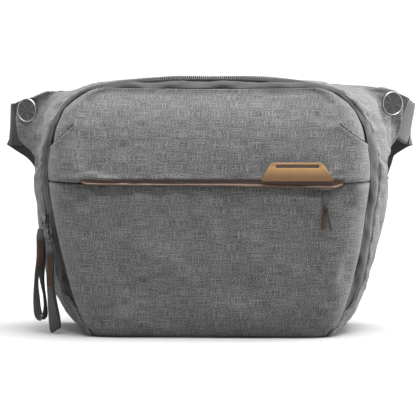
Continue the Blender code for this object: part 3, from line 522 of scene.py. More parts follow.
def slab(name, P, thick, mats, out, roll=2.0, rolled="lrbt", edge_mat=0, uv=None, shade=None, inner_pull=None):
    """A closed padded sheet. out is a point inside, which the outer face looks away from. mats is (outer, inner)."""
    n = normals_of(P)
    flip = ((P - np.asarray(out, float)) * n).sum(-1).mean() < 0
    if flip:
        n = -n
    d = edge_distance(P, rolled) if rolled else np.full(P.shape[:2], 1e9)
    x = np.clip(1 - d / max(roll, 1e-6), 0, 1)
    drop = roll * (1 - np.sqrt(np.maximum(0, 1 - x ** 2)))
    T = thick if isinstance(thick, np.ndarray) else np.full(P.shape[:2], float(thick))
    outer = P - n * np.minimum(drop, T * 0.62)[..., None]
    inner = P - n * np.maximum(T - drop * 0.35, T * 0.66)[..., None]
    if inner_pull is not None:
        inner = inner + inner_pull
    R, C = P.shape[:2]
    verts = np.concatenate([outer.reshape(-1, 3), inner.reshape(-1, 3)])
    rim = [(i, 0) for i in range(R)] + [(R - 1, j) for j in range(1, C)]
    rim += [(i, C - 1) for i in range(R - 2, -1, -1)] + [(0, j) for j in range(C - 2, 0, -1)]
    rim = [i * C + j for i, j in rim]
    f_out = grid_faces(R, C, 0, flip)
    f_in = grid_faces(R, C, R * C, not flip)
    f_rim = []
    for a, b in zip(rim, rim[1:] + rim[:1]):
        f_rim.append((a, b, b + R * C, a + R * C) if flip else (b, a, a + R * C, b + R * C))
    # the walk round the rim is clockwise for an unflipped grid
    faces = np.concatenate([f_out, f_in, np.array(f_rim)])
    uvs = arc_uv(P) if uv is None else uv
    uvs = np.concatenate([uvs.reshape(-1, 2), uvs.reshape(-1, 2)])
    fm = [0] * len(f_out) + [1 if len(mats) > 1 else 0] * len(f_in) + [edge_mat] * len(f_rim)
    if shade is not None:
        shade = np.concatenate([shade.ravel(), shade.ravel()])
    obj = make_mesh(name, verts, faces, uvs, mats, fm, shade)
    fix_normals(obj)
    return obj


def fix_normals(obj):
    bm = bmesh.new()
    bm.from_mesh(obj.data)
    bmesh.ops.recalc_face_normals(bm, faces=bm.faces)
    bm.to_mesh(obj.data)
    bm.free()


def resample(Dc, u, v):
    """Smooth lookup of a coarse field (R, C, 3) at u, v in 0 to 1 (rows v, columns u)."""
    R, C = Dc.shape[:2]
    rows = cr(Dc.reshape(R, -1), np.asarray(v) * (R - 1)).reshape(len(v), C, 3)
    cols = cr(rows.transpose(1, 0, 2).reshape(C, -1), np.asarray(u) * (C - 1)).reshape(len(u), len(v), 3)
    return cols.transpose(1, 0, 2)


def settle(P, out, pressure=4.0, slack=0.012, gravity=0.25, cap=4.0, frames=20, stiff=12.0, pin_rows=()):
    """Cloth simulation of one skin held along its seams. Returns how far each point moved, in mm."""
    R, C = P.shape[:2]
    n = normals_of(P)
    flip = ((P - np.asarray(out, float)) * n).sum(-1).mean() < 0
    mesh = bpy.data.meshes.new("cloth")
    mesh.from_pydata((P.reshape(-1, 3) * MM).tolist(), [], grid_faces(R, C, 0, flip).tolist())
    obj = bpy.data.objects.new("cloth", mesh)
    scene.collection.objects.link(obj)
    group = obj.vertex_groups.new(name="pin")
    idx = np.arange(R * C).reshape(R, C)
    edge = np.concatenate([idx[0], idx[-1], idx[:, 0], idx[:, -1]] + [idx[r] for r in pin_rows])
    group.add([int(k) for k in set(edge.tolist())], 1.0, "REPLACE")
    mod = obj.modifiers.new("cloth", "CLOTH")
    st = mod.settings
    st.quality = 6
    st.mass = 0.25
    st.tension_stiffness = st.compression_stiffness = stiff
    st.shear_stiffness = stiff / 2
    st.bending_stiffness = 0.6
    st.tension_damping = st.compression_damping = st.shear_damping = 15
    st.air_damping = 2.0
    st.vertex_group_mass = "pin"
    st.use_pressure = True
    st.uniform_pressure_force = pressure
    st.shrink_min = -slack
    st.effector_weights.gravity = gravity
    mod.collision_settings.use_collision = False
    mod.point_cache.frame_start, mod.point_cache.frame_end = 1, frames
    for f in range(1, frames + 1):
        scene.frame_set(f)
    graph = bpy.context.evaluated_depsgraph_get()
    ev = obj.evaluated_get(graph)
    res = ev.to_mesh()
    co = np.empty(len(res.vertices) * 3, np.float32)
    res.vertices.foreach_get("co", co)
    ev.to_mesh_clear()
    moved = co.reshape(R, C, 3).astype(float) / MM - P
    scene.frame_set(1)
    bpy.data.objects.remove(obj, do_unlink=True)
    if not np.isfinite(moved).all():
        return np.zeros_like(P)
    length = np.linalg.norm(moved, axis=-1, keepdims=True)
    return moved * np.where(length > 1e-9, cap * np.tanh(length / cap) / np.maximum(length, 1e-9), 0)


def revolve(name, profile, frame_m, mat, steps=64, shade=None, arc_scale=1.0):
    """Turns (radius, height) about the local Z of a 4x4; closed where the profile starts and ends on the axis."""
    prof = np.asarray(profile, float)
    ang = np.linspace(0, 2 * math.pi, steps, endpoint=False)
    verts, uvs, shades = [], [], []
    run = np.concatenate([[0], np.cumsum(np.linalg.norm(np.diff(prof, axis=0), axis=1))])
    for k, (r, h) in enumerate(prof):
        for a in ang:
            verts.append((r * math.cos(a), r * math.sin(a), h))
            uvs.append((a * 16 * arc_scale, run[k]))
            shades.append(0 if shade is None else shade[k])
    faces = []
    for k in range(len(prof) - 1):
        for i in range(steps):
            j = (i + 1) % steps
            faces.append((k * steps + i, k * steps + j, (k + 1) * steps + j, (k + 1) * steps + i))
    verts = np.asarray(verts)
    m = np.asarray(frame_m)
    verts = verts @ m[:3, :3].T + m[:3, 3]
    obj = make_mesh(name, verts, faces, np.asarray(uvs), (mat,), None, shades)
    bm = bmesh.new()
    bm.from_mesh(obj.data)
    bmesh.ops.remove_doubles(bm, verts=bm.verts, dist=2e-6)
    bmesh.ops.recalc_face_normals(bm, faces=bm.faces)
    bm.to_mesh(obj.data)
    bm.free()
    obj.data.set_sharp_from_angle(angle=math.radians(38))
    return obj


def frame_of(origin, x_axis, z_axis):
    z = np.asarray(z_axis, float)
    z = z / np.linalg.norm(z)
    x = np.asarray(x_axis, float)
    x = x - x.dot(z) * z
    x = x / np.linalg.norm(x)
    y = np.cross(z, x)
    m = np.eye(4)
    m[:3, 0], m[:3, 1], m[:3, 2], m[:3, 3] = x, y, z, origin
    return m


def ribbon(name, pts, widths, dirs, thick, mat, n=120, corner=0.35, wave_amp=0.0, cup=0.0, across=8):
    """Webbing along points: a rounded flat section, with n steps along. dirs are the directions of its width."""
    m = len(pts)
    s = np.linspace(0, m - 1, n)
    p = cr(pts, s)
    w = cr(np.asarray(widths, float).reshape(-1, 1), s)[:, 0]
    d = cr(dirs, s)
    t = np.gradient(p, axis=0)
    t /= np.linalg.norm(t, axis=1, keepdims=True)
    d = d - (d * t).sum(1, keepdims=True) * t
    d /= np.linalg.norm(d, axis=1, keepdims=True)
    nn = np.cross(t, d)
    sec = []
    k = across
    for i in range(k + 1):
        sec.append((-1 + 2 * i / k, 1))
    sec += [(1.0, 0.4), (1.0, -0.4)]
    for i in range(k + 1):
        sec.append((1 - 2 * i / k, -1))
    sec += [(-1.0, -0.4), (-1.0, 0.4)]
    run = np.concatenate([[0], np.cumsum(np.linalg.norm(np.diff(p, axis=0), axis=1))])
    verts, uvs = [], []
    for q in range(n):
        for a, b in sec:
            inset = corner if abs(b) == 1 and abs(a) == 1 else 0
            off = (a * (w[q] / 2 - inset))
            lift = b * thick / 2 * (1 - 0.25 * (abs(a) > 0.98))
            bend = cup * (1 - a * a) + wave_amp * math.sin(run[q] * 0.11 + a * 1.3) * (1 - a * a * 0.3)
            verts.append(p[q] + d[q] * off + nn[q] * (lift + bend))
            uvs.append((a * w[q] / 2 + (60 if b < 0 else 0), run[q]))
    ns = len(sec)
    faces = []
    for q in range(n - 1):
        for i in range(ns):
            j = (i + 1) % ns
            faces.append((q * ns + i, q * ns + j, (q + 1) * ns + j, (q + 1) * ns + i))
    faces.append(tuple(range(ns))[::-1])
    faces.append(tuple((n - 1) * ns + i for i in range(ns)))
    obj = make_mesh(name, verts, faces, uvs, (mat,))
    obj.data.set_sharp_from_angle(angle=math.radians(50))
    fix_normals(obj)
    return obj


def wire(name, pts, radius, mat, sides=10, closed=True):
    """A round wire along points, a closed loop or capped at its ends."""
    pts = np.asarray(pts, float)
    n = len(pts)
    t = (np.roll(pts, -1, 0) - np.roll(pts, 1, 0)) if closed else np.gradient(pts, axis=0)
    t /= np.linalg.norm(t, axis=1, keepdims=True)
    ref = np.cross(pts[n // 4] - pts[0], pts[n // 2] - pts[0])
    if np.linalg.norm(ref) < 1e-6:
        ref = np.array([0, 0, 1.0]) if abs(t[0][2]) < 0.9 else np.array([1.0, 0, 0])
    ref = ref / np.linalg.norm(ref)
    a = np.cross(t, ref)
    a /= np.linalg.norm(a, axis=1, keepdims=True)
    b = np.cross(t, a)
    ang = np.arange(sides) * 2 * math.pi / sides
    verts = (pts[:, None] + radius * (a[:, None] * np.cos(ang)[None, :, None] + b[:, None] * np.sin(ang)[None, :, None])).reshape(-1, 3)
    faces = []
    for i in range(n if closed else n - 1):
        for k in range(sides):
            j, l = (i + 1) % n, (k + 1) % sides
            faces.append((i * sides + k, i * sides + l, j * sides + l, j * sides + k))
    if not closed:
        faces += [tuple(range(sides)), tuple((n - 1) * sides + k for k in range(sides))[::-1]]
    obj = make_mesh(name, verts, faces, np.zeros((len(verts), 2)), (mat,))
    fix_normals(obj)
    return obj


def stitches(name, lines, mat, length=2.6, gap=1.1, radius=0.27, lift=0.1):
    """Sewing thread: short rounded stitches along polylines of (points, normals)."""
    verts, faces = [], []
    for pts, nrm in lines:
        pts, nrm = np.asarray(pts, float), np.asarray(nrm, float)
        run = np.concatenate([[0], np.cumsum(np.linalg.norm(np.diff(pts, axis=0), axis=1))])
        count = max(1, int(run[-1] / (length + gap)))
        for k in range(count):
            a = k * (length + gap) + gap / 2
            u = np.array([np.interp(a + f * length, run, np.arange(len(pts))) for f in (0, 0.5, 1)])
            q = cr(pts, u)
            nn = cr(nrm, u[1:2])[0]
            nn = nn / max(np.linalg.norm(nn), 1e-9)
            t = q[2] - q[0]
            t /= max(np.linalg.norm(t), 1e-9)
            side = np.cross(t, nn)
            base = len(verts)
            for f, r in ((0, 0.15), (0.12, 0.8), (0.5, 1.0), (0.88, 0.8), (1.0, 0.15)):
                c = q[0] + (q[2] - q[0]) * f + (q[1] - (q[0] + q[2]) / 2) * 4 * f * (1 - f)
                c = c + nn * (lift + radius * 0.35 * math.sin(math.pi * f) - radius * 0.25)
                for g in range(6):
                    ang = g * math.pi / 3
                    verts.append(c + radius * r * (side * math.cos(ang) + nn * math.sin(ang)))
            for i in range(4):
                for g in range(6):
                    h = (g + 1) % 6
                    faces.append((base + i * 6 + g, base + i * 6 + h, base + (i + 1) * 6 + h, base + (i + 1) * 6 + g))
            faces.append(tuple(base + g for g in range(6))[::-1])
            faces.append(tuple(base + 24 + g for g in range(6)))
    obj = make_mesh(name, verts, faces, np.zeros((len(verts), 2)), (mat,))
    fix_normals(obj)
    return obj


def put(obj, body, *nodes, slot=None, fill=None):
    if nodes:
        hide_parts(*nodes)
    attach(obj, body)
    return obj


INSIDE = (0, 0, 100)


# ================================================================ front
def crease(P, n, a, b, depth, width, pucker=0.0, pitch=5.0):
    """A sewn dart between two points in the XZ plane: a groove with small puckers along it."""
    a, b = np.asarray(a, float), np.asarray(b, float)
    q = P[..., [0, 2]]
    ab = b - a
    run = np.linalg.norm(ab)
    t = ((q - a) @ ab) / run ** 2
    tc = np.clip(t, 0, 1)
    d = np.linalg.norm(q - (a + tc[..., None] * ab), axis=-1)
    fade = np.where((t > -0.15) & (t < 1.15), 1.0, 0.0) * smooth((t + 0.15) / 0.3) * smooth((1.15 - t) / 0.3)
    amount = -depth * np.exp(-(d / width) ** 2) * fade
    side = np.exp(-(d / (width * 3.2)) ** 2) * (1 - np.exp(-(d / width) ** 2))
    amount = amount + pucker * side * np.cos(2 * math.pi * t * run / pitch) * fade
    return P + n * amount[..., None]


def front_points(a, z, lift=None, drop=0.0):
    """Front face at a (columns, -1 to 1) and seam height z (rows)."""
    z = np.asarray(z, float)
    s = np.where(z < 215.4, seam_at(np.minimum(z, 215.4)), 10.0)
    left, right = on("seam", s), on("seam", 24 - s)
    A, Z = np.meshgrid(a, left[:, 2])
    X = left[:, :1] + (right[:, :1] - left[:, :1]) * (A + 1) / 2
    edge = left[:, 1:2]
    mid = lookup(FRONT_MIDDLE, z)[:, :1]
    Y = edge - (edge - mid) * np.maximum(0, 1 - np.abs(A) ** 12) ** 0.7 + drop
    if lift is not None:
        Y = Y - lift(A, Z)
    P = np.stack([X, Y, Z], axis=-1)
    low = np.maximum(0, 4.7 - z)[:, None]
    P[..., 2] -= low
    P[..., 1] += low ** 2 * 0.12
    P[..., 0] *= 1 - low * 0.004
    return P


def flap_rise(a, z):
    return FLAP_OUT * (1 - smooth((z - 137.0) / 42)) * (1 - smooth((np.abs(a) - 0.80) / 0.19))


def out_normals(P, inside=INSIDE):
    n = normals_of(P)
    return -n if ((P - np.asarray(inside, float)) * n).sum(-1).mean() < 0 else n


def cushioned(make, a, z, pressure, cap, slack=0.012, gravity=0.3, coarse=(30, 22), frames=16):
    """The grid make(a, z), with the way a simulated cloth skin of it settles added."""
    ca, cz = np.linspace(0, 1, coarse[0]), np.linspace(0, 1, coarse[1])
    P = make(a, z)
    Pc = make(a[0] + (a[-1] - a[0]) * ca, z[0] + (z[-1] - z[0]) * cz)
    moved = settle(Pc, INSIDE, pressure, slack, gravity, cap, frames)
    return P + resample(moved, (a - a[0]) / (a[-1] - a[0]), (z - z[0]) / (z[-1] - z[0]))


# upper front: the flap with its sloping top and two darts
A_UP = -1 + 2 * params(150, 270, 2.2)
Z_UP = 134.2 + (215.6 - 134.2) * params(84, 90, 2.0)
P = cushioned(lambda a, z: front_points(a, z, flap_rise), A_UP, Z_UP, 2.5, 2.4)
X, Z = P[..., 0], P[..., 2]
P[..., 1] += 3.0 * (1 - smooth((Z - 136.6) / 1.1)) * (1 - smooth((np.abs(X - 2.4) - 111.6) / 2.2))
free = np.clip(edge_distance(P, "lrbt") / 10, 0, 1) * smooth((Z - 137) / 6)
sag = 3.6 * np.maximum(0, 1 - (X / 92) ** 2) * smooth((Z - 196) / 18)
P[..., 2] -= sag * 0.2
P[..., 1] += ripple(P, 62, 0.55, 0) * free + ripple(P, 25, 0.22, 16) * free
n = out_normals(P)


def dart(P, n, a, b, step, reach, groove=0.9):
    """A dart from a to b: the cloth above it lies lower than the cloth below, which laps over it."""
    a, b = np.asarray(a, float), np.asarray(b, float)
    q = P[..., [0, 2]]
    ab = b - a
    run = np.linalg.norm(ab)
    t = ((q - a) @ ab) / run ** 2
    up = np.array([-ab[1], ab[0]]) / run
    up = up if up[1] > 0 else -up
    h = (q - a) @ up
    along = smooth((t + 0.05) / 0.12) * (1 - smooth((t - 0.80) / 0.30))
    above = smooth((h + 0.5) / 1.0) * np.exp(-np.maximum(h, 0) / reach)
    lip = np.exp(-((h + 1.6) / 1.7) ** 2)
    line = np.exp(-((h - 0.1) / 0.75) ** 2)
    return P + n * (along * (-step * above + 0.75 * lip - groove * line))[..., None]


DARTS = ((-1, (-139.8, 163.6), (-117.2, 184.0)), (1, (139.0, 166.0), (112.4, 184.7)))
for sx, a1, b1 in DARTS:
    P = dart(P, n, a1, b1, 1.8, 16.0)
    P = crease(P, n, (b1[0] - sx * 1.0, b1[1] + 1.5), (b1[0] - sx * 24, b1[1] + 8), 0.8, 4.5)
    P = P + n * (1.3 * np.exp(-((P[..., 0] - b1[0] - sx * 0.6) ** 2 + (P[..., 2] - b1[1] + 0.6) ** 2) / 30.0))[..., None]
    P = crease(P, n, (sx * 126, 199), (sx * 108, 209), 0.7, 3.5, 0.2, 8)
    P = crease(P, n, (sx * 118, 176), (sx * 96, 170), 0.8, 7.0)
flap = slab("front_flap", P, 4.6, ("heather", "lining", "nylon_base"), INSIDE, 2.2)
# the seam allowance inside the flap's edge is bound in nylon, not lining
R, C = P.shape[:2]
edge_distance_sides = edge_distance(P, "lr")
top_dist = np.abs(P[..., 2].max() - P[..., 2])
for f in flap.data.polygons:
    q = f.index - (R - 1) * (C - 1)
    if f.material_index == 1 and 0 <= q < (R - 1) * (C - 1):
        i, j = divmod(q, C - 1)
        if edge_distance_sides[i, j] < 11 or top_dist[i, j] < 12:
            f.material_index = 2
put(flap, "front_cover", "front_panel_upper", slot="heather_fabric", fill=0.45)


def crease_shadow_line(name, surface, nrm, a, b, bow, body, mat="seam", radius=0.5, sink=0.12, keep=lambda p: p[..., 1] < 0):
    """A near-black wire laid in a closed seam's crease, between two points of the XZ plane: painted shadow of the
    crease.
    """
    a, b = np.asarray(a, float), np.asarray(b, float)
    flat = surface.reshape(-1, 3)
    fn = nrm.reshape(-1, 3)
    ok = keep(flat)
    flat, fn = flat[ok], fn[ok]
    d = b - a
    side = np.array([-d[1], d[0]]) / np.linalg.norm(d)
    line, away = [], []
    for t in np.linspace(0, 1, 26):
        q = a + d * t + side * bow * math.sin(math.pi * t)
        near = ((flat[:, [0, 2]] - q) ** 2).sum(1)
        pick = np.argsort(near)[:6]
        w = 1 / (near[pick] + 0.05)
        line.append((flat[pick] * w[:, None]).sum(0) / w.sum())
        away.append((fn[pick] * w[:, None]).sum(0) / w.sum())
    line, away = np.array(line), np.array(away)
    away /= np.linalg.norm(away, axis=1, keepdims=True)
    for _ in range(3):
        line[1:-1] = line[1:-1] * 0.5 + (line[:-2] + line[2:]) * 0.25
    obj = wire(name, line + away * (radius - sink), radius, mat, 8, False)
    return put(obj, body, slot="heather_fabric")


# the darts' creases, each with a near-black wire as painted shadow
for sx, a1, b1 in DARTS:
    crease_shadow_line("dart_seam_" + ("left" if sx < 0 else "right"), P, out_normals(P), a1, b1, 0.9 * -sx * -1, "front_cover")
P_FLAP, N_FLAP = P, out_normals(P)

# lower front, one padded panel from the base up behind the flap; it bends at the fold line
A_LO = -1 + 2 * params(150, 260, 2.6)
Z_LO = 0.4 + (134.0 - 0.4) * params(110, 140, 2.4)


def lower_front(a, z):
    Q = front_points(a, z)
    tuck = smooth((Q[..., 2] - 127) / 5) * (1 - smooth((np.abs(Q[..., 0]) - 111) / 8))
    Q[..., 1] += 1.6 * tuck
    return Q


P = cushioned(lower_front, A_LO, Z_LO, 3.0, 2.6, 0.014, 0.35)
X, Z = P[..., 0], P[..., 2]
free = np.clip(edge_distance(P, "lrbt") / 12, 0, 1) * (1 - smooth((Z - 120) / 8))
P[..., 1] += (ripple(P, 75, 0.8, 4) + ripple(P, 30, 0.30, 20)) * free
n = out_normals(P)
for sx in (-1, 1):
    P = crease(P, n, (sx * 130, 112), (sx * 112, 92), 0.8, 6.5)
    P = crease(P, n, (sx * 121, 50), (sx * 100, 38), 0.8, 5.0)
    P = crease(P, n, (sx * 112, 17), (sx * 84, 26), 0.7, 6.0)
P = crease(P, n, (-96, 43), (96, 40), 0.35, 6.0)
lower = slab("front_lower", P, 4.6, ("heather", "lining"), INSIDE, 2.6)
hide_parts("front_panel_lower", "front_base_band")
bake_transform(lower)
P_LOW = P


def flap_y(x, z=137.0):
    """Depth of the finished flap's face at x, z (scalars)."""
    d = (P_FLAP[..., 0] - x) ** 2 + (P_FLAP[..., 2] - z) ** 2
    return float(P_FLAP[..., 1].flat[int(np.argmin(d))])


# leather hem: a recess under the fabric, painted dark as the shadow of the flap's edge, and a rolled lip under it,
# painted lighter as lit
HEM_X = np.concatenate([np.linspace(-110.6, -108.4, 4), np.linspace(-107.6, 112.0, 110), np.linspace(112.8, 115.3, 5)])
HEM_T = np.array([0, 0.05, 0.12, 0.22, 0.32, 0.40, 0.46, 0.52, 0.60, 0.72, 0.84, 0.94, 1.0])
rows = []
EX = np.linspace(-112, 116, 77)
edge_y = np.interp(HEM_X, EX, [flap_y(x, 139.5) for x in EX])
edge_y = np.convolve(np.pad(edge_y, 4, mode="edge"), np.ones(9) / 9, mode="valid")
for t in HEM_T:
    top = 137.9 - 0.004 * (HEM_X + 110) + 0.3 * np.sin(HEM_X * 0.055 + 0.4)
    low = 132.5 - 0.0125 * (HEM_X + 110) + 0.35 * np.sin(HEM_X * 0.038 + 1.0)
    low = low + smooth((HEM_X - 108.5) / 7.0) * 3.0 + smooth((-104.0 - HEM_X) / 6.5) * 2.3
    z = low + (top - low) * t
    lip = math.sqrt(max(0.0, 1 - ((t - 0.16) / 0.22) ** 2))
    pinch = 1 - 0.7 * smooth((HEM_X - 109) / 6.3) - 0.6 * smooth((-104.5 - HEM_X) / 6.0)
    rise = -1.0 + 2.1 * lip * pinch
    rows.append(np.stack([HEM_X, edge_y - rise + 0.12 * np.sin(HEM_X * 0.17) * lip, z], axis=-1))
P = np.array(rows)
# painted light on the hem: the rolled lip light, falling to dark shadow up under the flap's edge, with a slow ripple
# along the hem and lighter towards the right end
shade = np.where(HEM_T < 0.36, 0.72 + 0.12 * np.cos((HEM_T - 0.16) * 9), 0.36 - 0.36 * (HEM_T - 0.36) / 0.64)
shade = shade[:, None] * (0.92 + 0.10 * np.sin(HEM_X * 0.05)[None, :]) + 0.30 * smooth((HEM_X - 98) / 14)[None, :]
hem = slab("hem_leather", P, 1.8, ("hem",), (0, 0, 134), 0.5, "lrb", shade=np.array(shade))
put(hem, "front_cover", "pocket_hem", slot="hem_leather")
put(stitches("hem_stitches", [(P[7], np.tile([0.0, -1.0, 0.0], (len(HEM_X), 1)))], "thread_hem", 2.0, 0.9, 0.15, 0.0), "front_cover", slot="hem_leather")

# tan tab, with its slot, the webbing that shows in it, and its stitching
TAB = [(44.9, 135.9), (108.3, 135.9), (99.2, 149.6), (96.6, 152.1), (55.0, 152.1), (52.6, 149.6)]
tab_y = min(flap_y(x, 142) for x in (50, 60, 76, 92, 104)) - 0.5


def polygon(points, r, n=6):
    """A closed outline with its corners rounded."""
    out = []
    m = len(points)
    for i in range(m):
        p, a, b = (np.array(points[k % m], float) for k in (i, i - 1, i + 1))
        ua, ub = (a - p) / np.linalg.norm(a - p), (b - p) / np.linalg.norm(b - p)
        rr = min(r, np.linalg.norm(a - p) * 0.45, np.linalg.norm(b - p) * 0.45)
        for k in range(n + 1):
            t = k / n
            out.append(tuple((p + ua * rr) * (1 - t) ** 2 + 2 * p * t * (1 - t) + (p + ub * rr) * t ** 2))
    return out


def plate(name, outline, depth, mat, frame_m, bevel=0.4, holes=(), shade=None, segments=3, dense=0.0):
    """An extruded outline with rolled edges and holes; local Z is its thickness, outline in local XY."""
    mesh_name = name
    curve = bpy.data.curves.new(mesh_name, "CURVE")
    curve.dimensions, curve.fill_mode = "2D", "BOTH"
    curve.extrude = (depth / 2 - bevel) * MM
    curve.bevel_depth, curve.bevel_resolution = bevel * MM, segments
    curve.offset = -bevel * MM
    for pts in (outline, *holes):
        sp = curve.splines.new("POLY")
        sp.points.add(len(pts) - 1)
        for p, (x, y) in zip(sp.points, pts):
            p.co = (x * MM, y * MM, 0, 1)
        sp.use_cyclic_u = True
    tmp = bpy.data.objects.new(mesh_name + "_curve", curve)
    scene.collection.objects.link(tmp)
    bpy.context.view_layer.update()
    mesh = bpy.data.meshes.new_from_object(tmp.evaluated_get(bpy.context.evaluated_depsgraph_get()))
    bpy.data.objects.remove(tmp, do_unlink=True)
    bm = bmesh.new()
    bm.from_mesh(mesh)
    bmesh.ops.remove_doubles(bm, verts=bm.verts, dist=1e-6)
    bmesh.ops.recalc_face_normals(bm, faces=bm.faces)
    bm.to_mesh(mesh)
    bm.free()
    co = np.empty(len(mesh.vertices) * 3, np.float32)
    mesh.vertices.foreach_get("co", co)
    co = co.reshape(-1, 3).astype(float) / MM
    uv = co[:, :2].copy()
    lo, hi = co[:, 1].min(), co[:, 1].max()
    m = np.asarray(frame_m)
    world = (co @ m[:3, :3].T + m[:3, 3]) * MM
    mesh.vertices.foreach_set("co", world.astype(np.float32).ravel())
    layer = mesh.uv_layers[0] if mesh.uv_layers else mesh.uv_layers.new(name="UVMap")
    idx = np.empty(len(mesh.loops), np.int32)
    mesh.loops.foreach_get("vertex_index", idx)
    layer.data.foreach_set("uv", (uv[idx] / UVMM).astype(np.float32).ravel())
    # the point attribute "shade" runs 0 to 1 up the outline, or holds the given value; the tab's painted shade and
    # highlight are read from it
    attr = mesh.attributes.new("shade", "FLOAT", "POINT")
    values = (co[:, 1] - lo) / (hi - lo) if shade is None else np.full(len(co), shade)
    attr.data.foreach_set("value", values.astype(np.float32))
    mesh.materials.clear()
    mesh.materials.append(M[mat])
    mesh.shade_smooth()
    mesh.set_sharp_from_angle(angle=math.radians(40))
    mesh.update()
    obj = bpy.data.objects.new(name, mesh)
    scene.collection.objects.link(obj)
    return obj


def round_rect(w, h, r, cx=0.0, cy=0.0, n=6):
    pts = []
    for k, (sx, sy) in enumerate(((1, 1), (-1, 1), (-1, -1), (1, -1))):
        for i in range(n + 1):
            t = math.pi / 2 * (k + i / n)
            pts.append((cx + sx * (w / 2 - r) + r * math.cos(t), cy + sy * (h / 2 - r) + r * math.sin(t)))
    return pts


FACE = lambda y: frame_of((0, y, 0), (1, 0, 0), (0, -1, 0))
tab = plate("tan_tab", polygon(TAB, 2.4), 1.7, "tab", FACE(tab_y - 0.3), 0.55, [round_rect(37.2, 2.3, 1.1, 76.4, 148.8)])
put(tab, "front_cover", "leather_tab", slot="tan_leather")
backing = plate("tab_backing", polygon([(56.5, 146.6), (97, 146.6), (97, 151.0), (56.5, 151.0)], 1), 0.5, "web_pull", FACE(tab_y + 0.55), 0.1)
put(backing, "front_cover", slot="webbing")
bar = plate("tab_bar", round_rect(35.6, 1.2, 0.5, 76.4, 148.85), 0.6, "steel", FACE(tab_y + 0.15), 0.2)
put(bar, "front_cover", slot="steel")
lines = []
for pts in ([(49.0, 137.8), (54.8, 147.2)], [(104.3, 137.8), (98.1, 147.2)], [(54.6, 151.0), (97.2, 151.0)], [(49.5, 137.2), (103.6, 137.2)]):
    q = np.array([[pts[0][0] + (pts[1][0] - pts[0][0]) * t, tab_y - 1.1, pts[0][1] + (pts[1][1] - pts[0][1]) * t] for t in np.linspace(0, 1, 12)])
    lines.append((q, np.tile([0.0, -1.0, 0.0], (12, 1))))
put(stitches("tab_stitches", lines, "thread_tan", 1.9, 0.8, 0.2), "front_cover", slot="tan_leather")

# stitching along the front seams
def seam_line(P, row=None, col=None, inset=3.0, clip=None):
    """A line of points and normals inset from an edge of a panel."""
    n = out_normals(P)
    if row is not None:
        d = edge_distance(P, "b" if row == 0 else "t")
        k = int(np.argmin(np.abs(d.mean(axis=1) - inset)))
        pts, nn = P[k], n[k]
    else:
        d = edge_distance(P, "l" if col == 0 else "r")
        k = int(np.argmin(np.abs(d.mean(axis=0) - inset)))
        pts, nn = P[:, k], n[:, k]
    if clip is not None:
        keep = clip(pts)
        pts, nn = pts[keep], nn[keep]
    return pts, nn


put(stitches("flap_stitches", [seam_line(P_FLAP, row=-1, inset=3.4), seam_line(P_FLAP, row=0, inset=5.0, clip=lambda p: np.abs(p[:, 0]) < 112)],
             "thread", 2.4, 1.0, 0.2, 0.05), "front_cover", slot="heather_fabric")

# pocket zip under the flap: tape and a coil of teeth
A_PZ = np.linspace(-0.80, 0.82, 60)
P = front_points(A_PZ, np.array([126.8, 128.5, 130.3, 131.9, 133.5, 135.2, 136.8]), drop=2.8)
put(slab("pocket_zip", P, 1.2, ("zip_tape",), INSIDE, 0.3), "front_cover", "pocket_zip_tape", slot="zip_tape")


def teeth(name, pts, across, out, pitch, size, mat="teeth"):
    """Small rounded coil teeth at equal spacing along a line."""
    run = np.concatenate([[0], np.cumsum(np.linalg.norm(np.diff(pts, axis=0), axis=1))])
    count = int(run[-1] / pitch)
    at = np.interp((np.arange(count) + 0.5) * pitch, run, np.arange(len(pts)))
    p, ac, ou = cr(pts, at), cr(across, at), cr(out, at)
    ac /= np.linalg.norm(ac, axis=1, keepdims=True)
    ou = ou - (ou * ac).sum(1, keepdims=True) * ac
    ou /= np.linalg.norm(ou, axis=1, keepdims=True)
    al = np.cross(ac, ou)
    w, l, h = size
    shape = []
    for x, k in ((-0.5, 0.55), (-0.32, 1.0), (0.32, 1.0), (0.5, 0.45)):
        for g in range(6):
            t = math.pi / 3 * g + math.pi / 6
            shape.append((x * w, math.cos(t) * l / 2 * k, math.sin(t) * h / 2 * k))
    shape = np.array(shape)
    verts = (p[:, None] + ac[:, None] * shape[None, :, :1] + al[:, None] * shape[None, :, 1:2] + ou[:, None] * shape[None, :, 2:]).reshape(-1, 3)
    faces = []
    for k in range(count):
        b = k * 24
        for r in range(3):
            for g in range(6):
                h2 = (g + 1) % 6
                faces.append((b + r * 6 + g, b + r * 6 + h2, b + (r + 1) * 6 + h2, b + (r + 1) * 6 + g))
        faces.append(tuple(b + g for g in range(6))[::-1])
        faces.append(tuple(b + 18 + g for g in range(6)))
    obj = make_mesh(name, verts, faces, np.zeros((len(verts), 2)), (mat,))
    fix_normals(obj)
    return obj


mid = front_points(A_PZ, np.array([132.0, 133.0]), drop=2.2)[0]
put(teeth("pocket_teeth", mid, np.tile([0, 0, 1.0], (len(mid), 1)), np.tile([0, -1.0, 0], (len(mid), 1)), 1.6, (3.4, 1.15, 1.2)),
    "front_cover", slot="zip_tape")

# ================================================================ gusset and main zip
S_ALL = np.linspace(0, 24, 481)


ZIP_V = [(0, 0.5), (9.9, 0.5), (10.8, 0.86), (13.4, 0.86), (14.2, 0.5), (24, 0.5)]


def zip_v(s):
    """Where the zip's middle runs, across the strip between the front and the side."""
    t = np.array(ZIP_V, float)
    return np.interp(s, t[:, 0], t[:, 1])


def band_end(s):
    """How far across the zip's width the nylon strip reaches: all of it below the fold, none above."""
    k = np.minimum(s, 24 - s)
    end = zip_v(s) - 0.045
    return end + (0.985 - end) * (1 - smooth((k - 1.35) / 0.65))


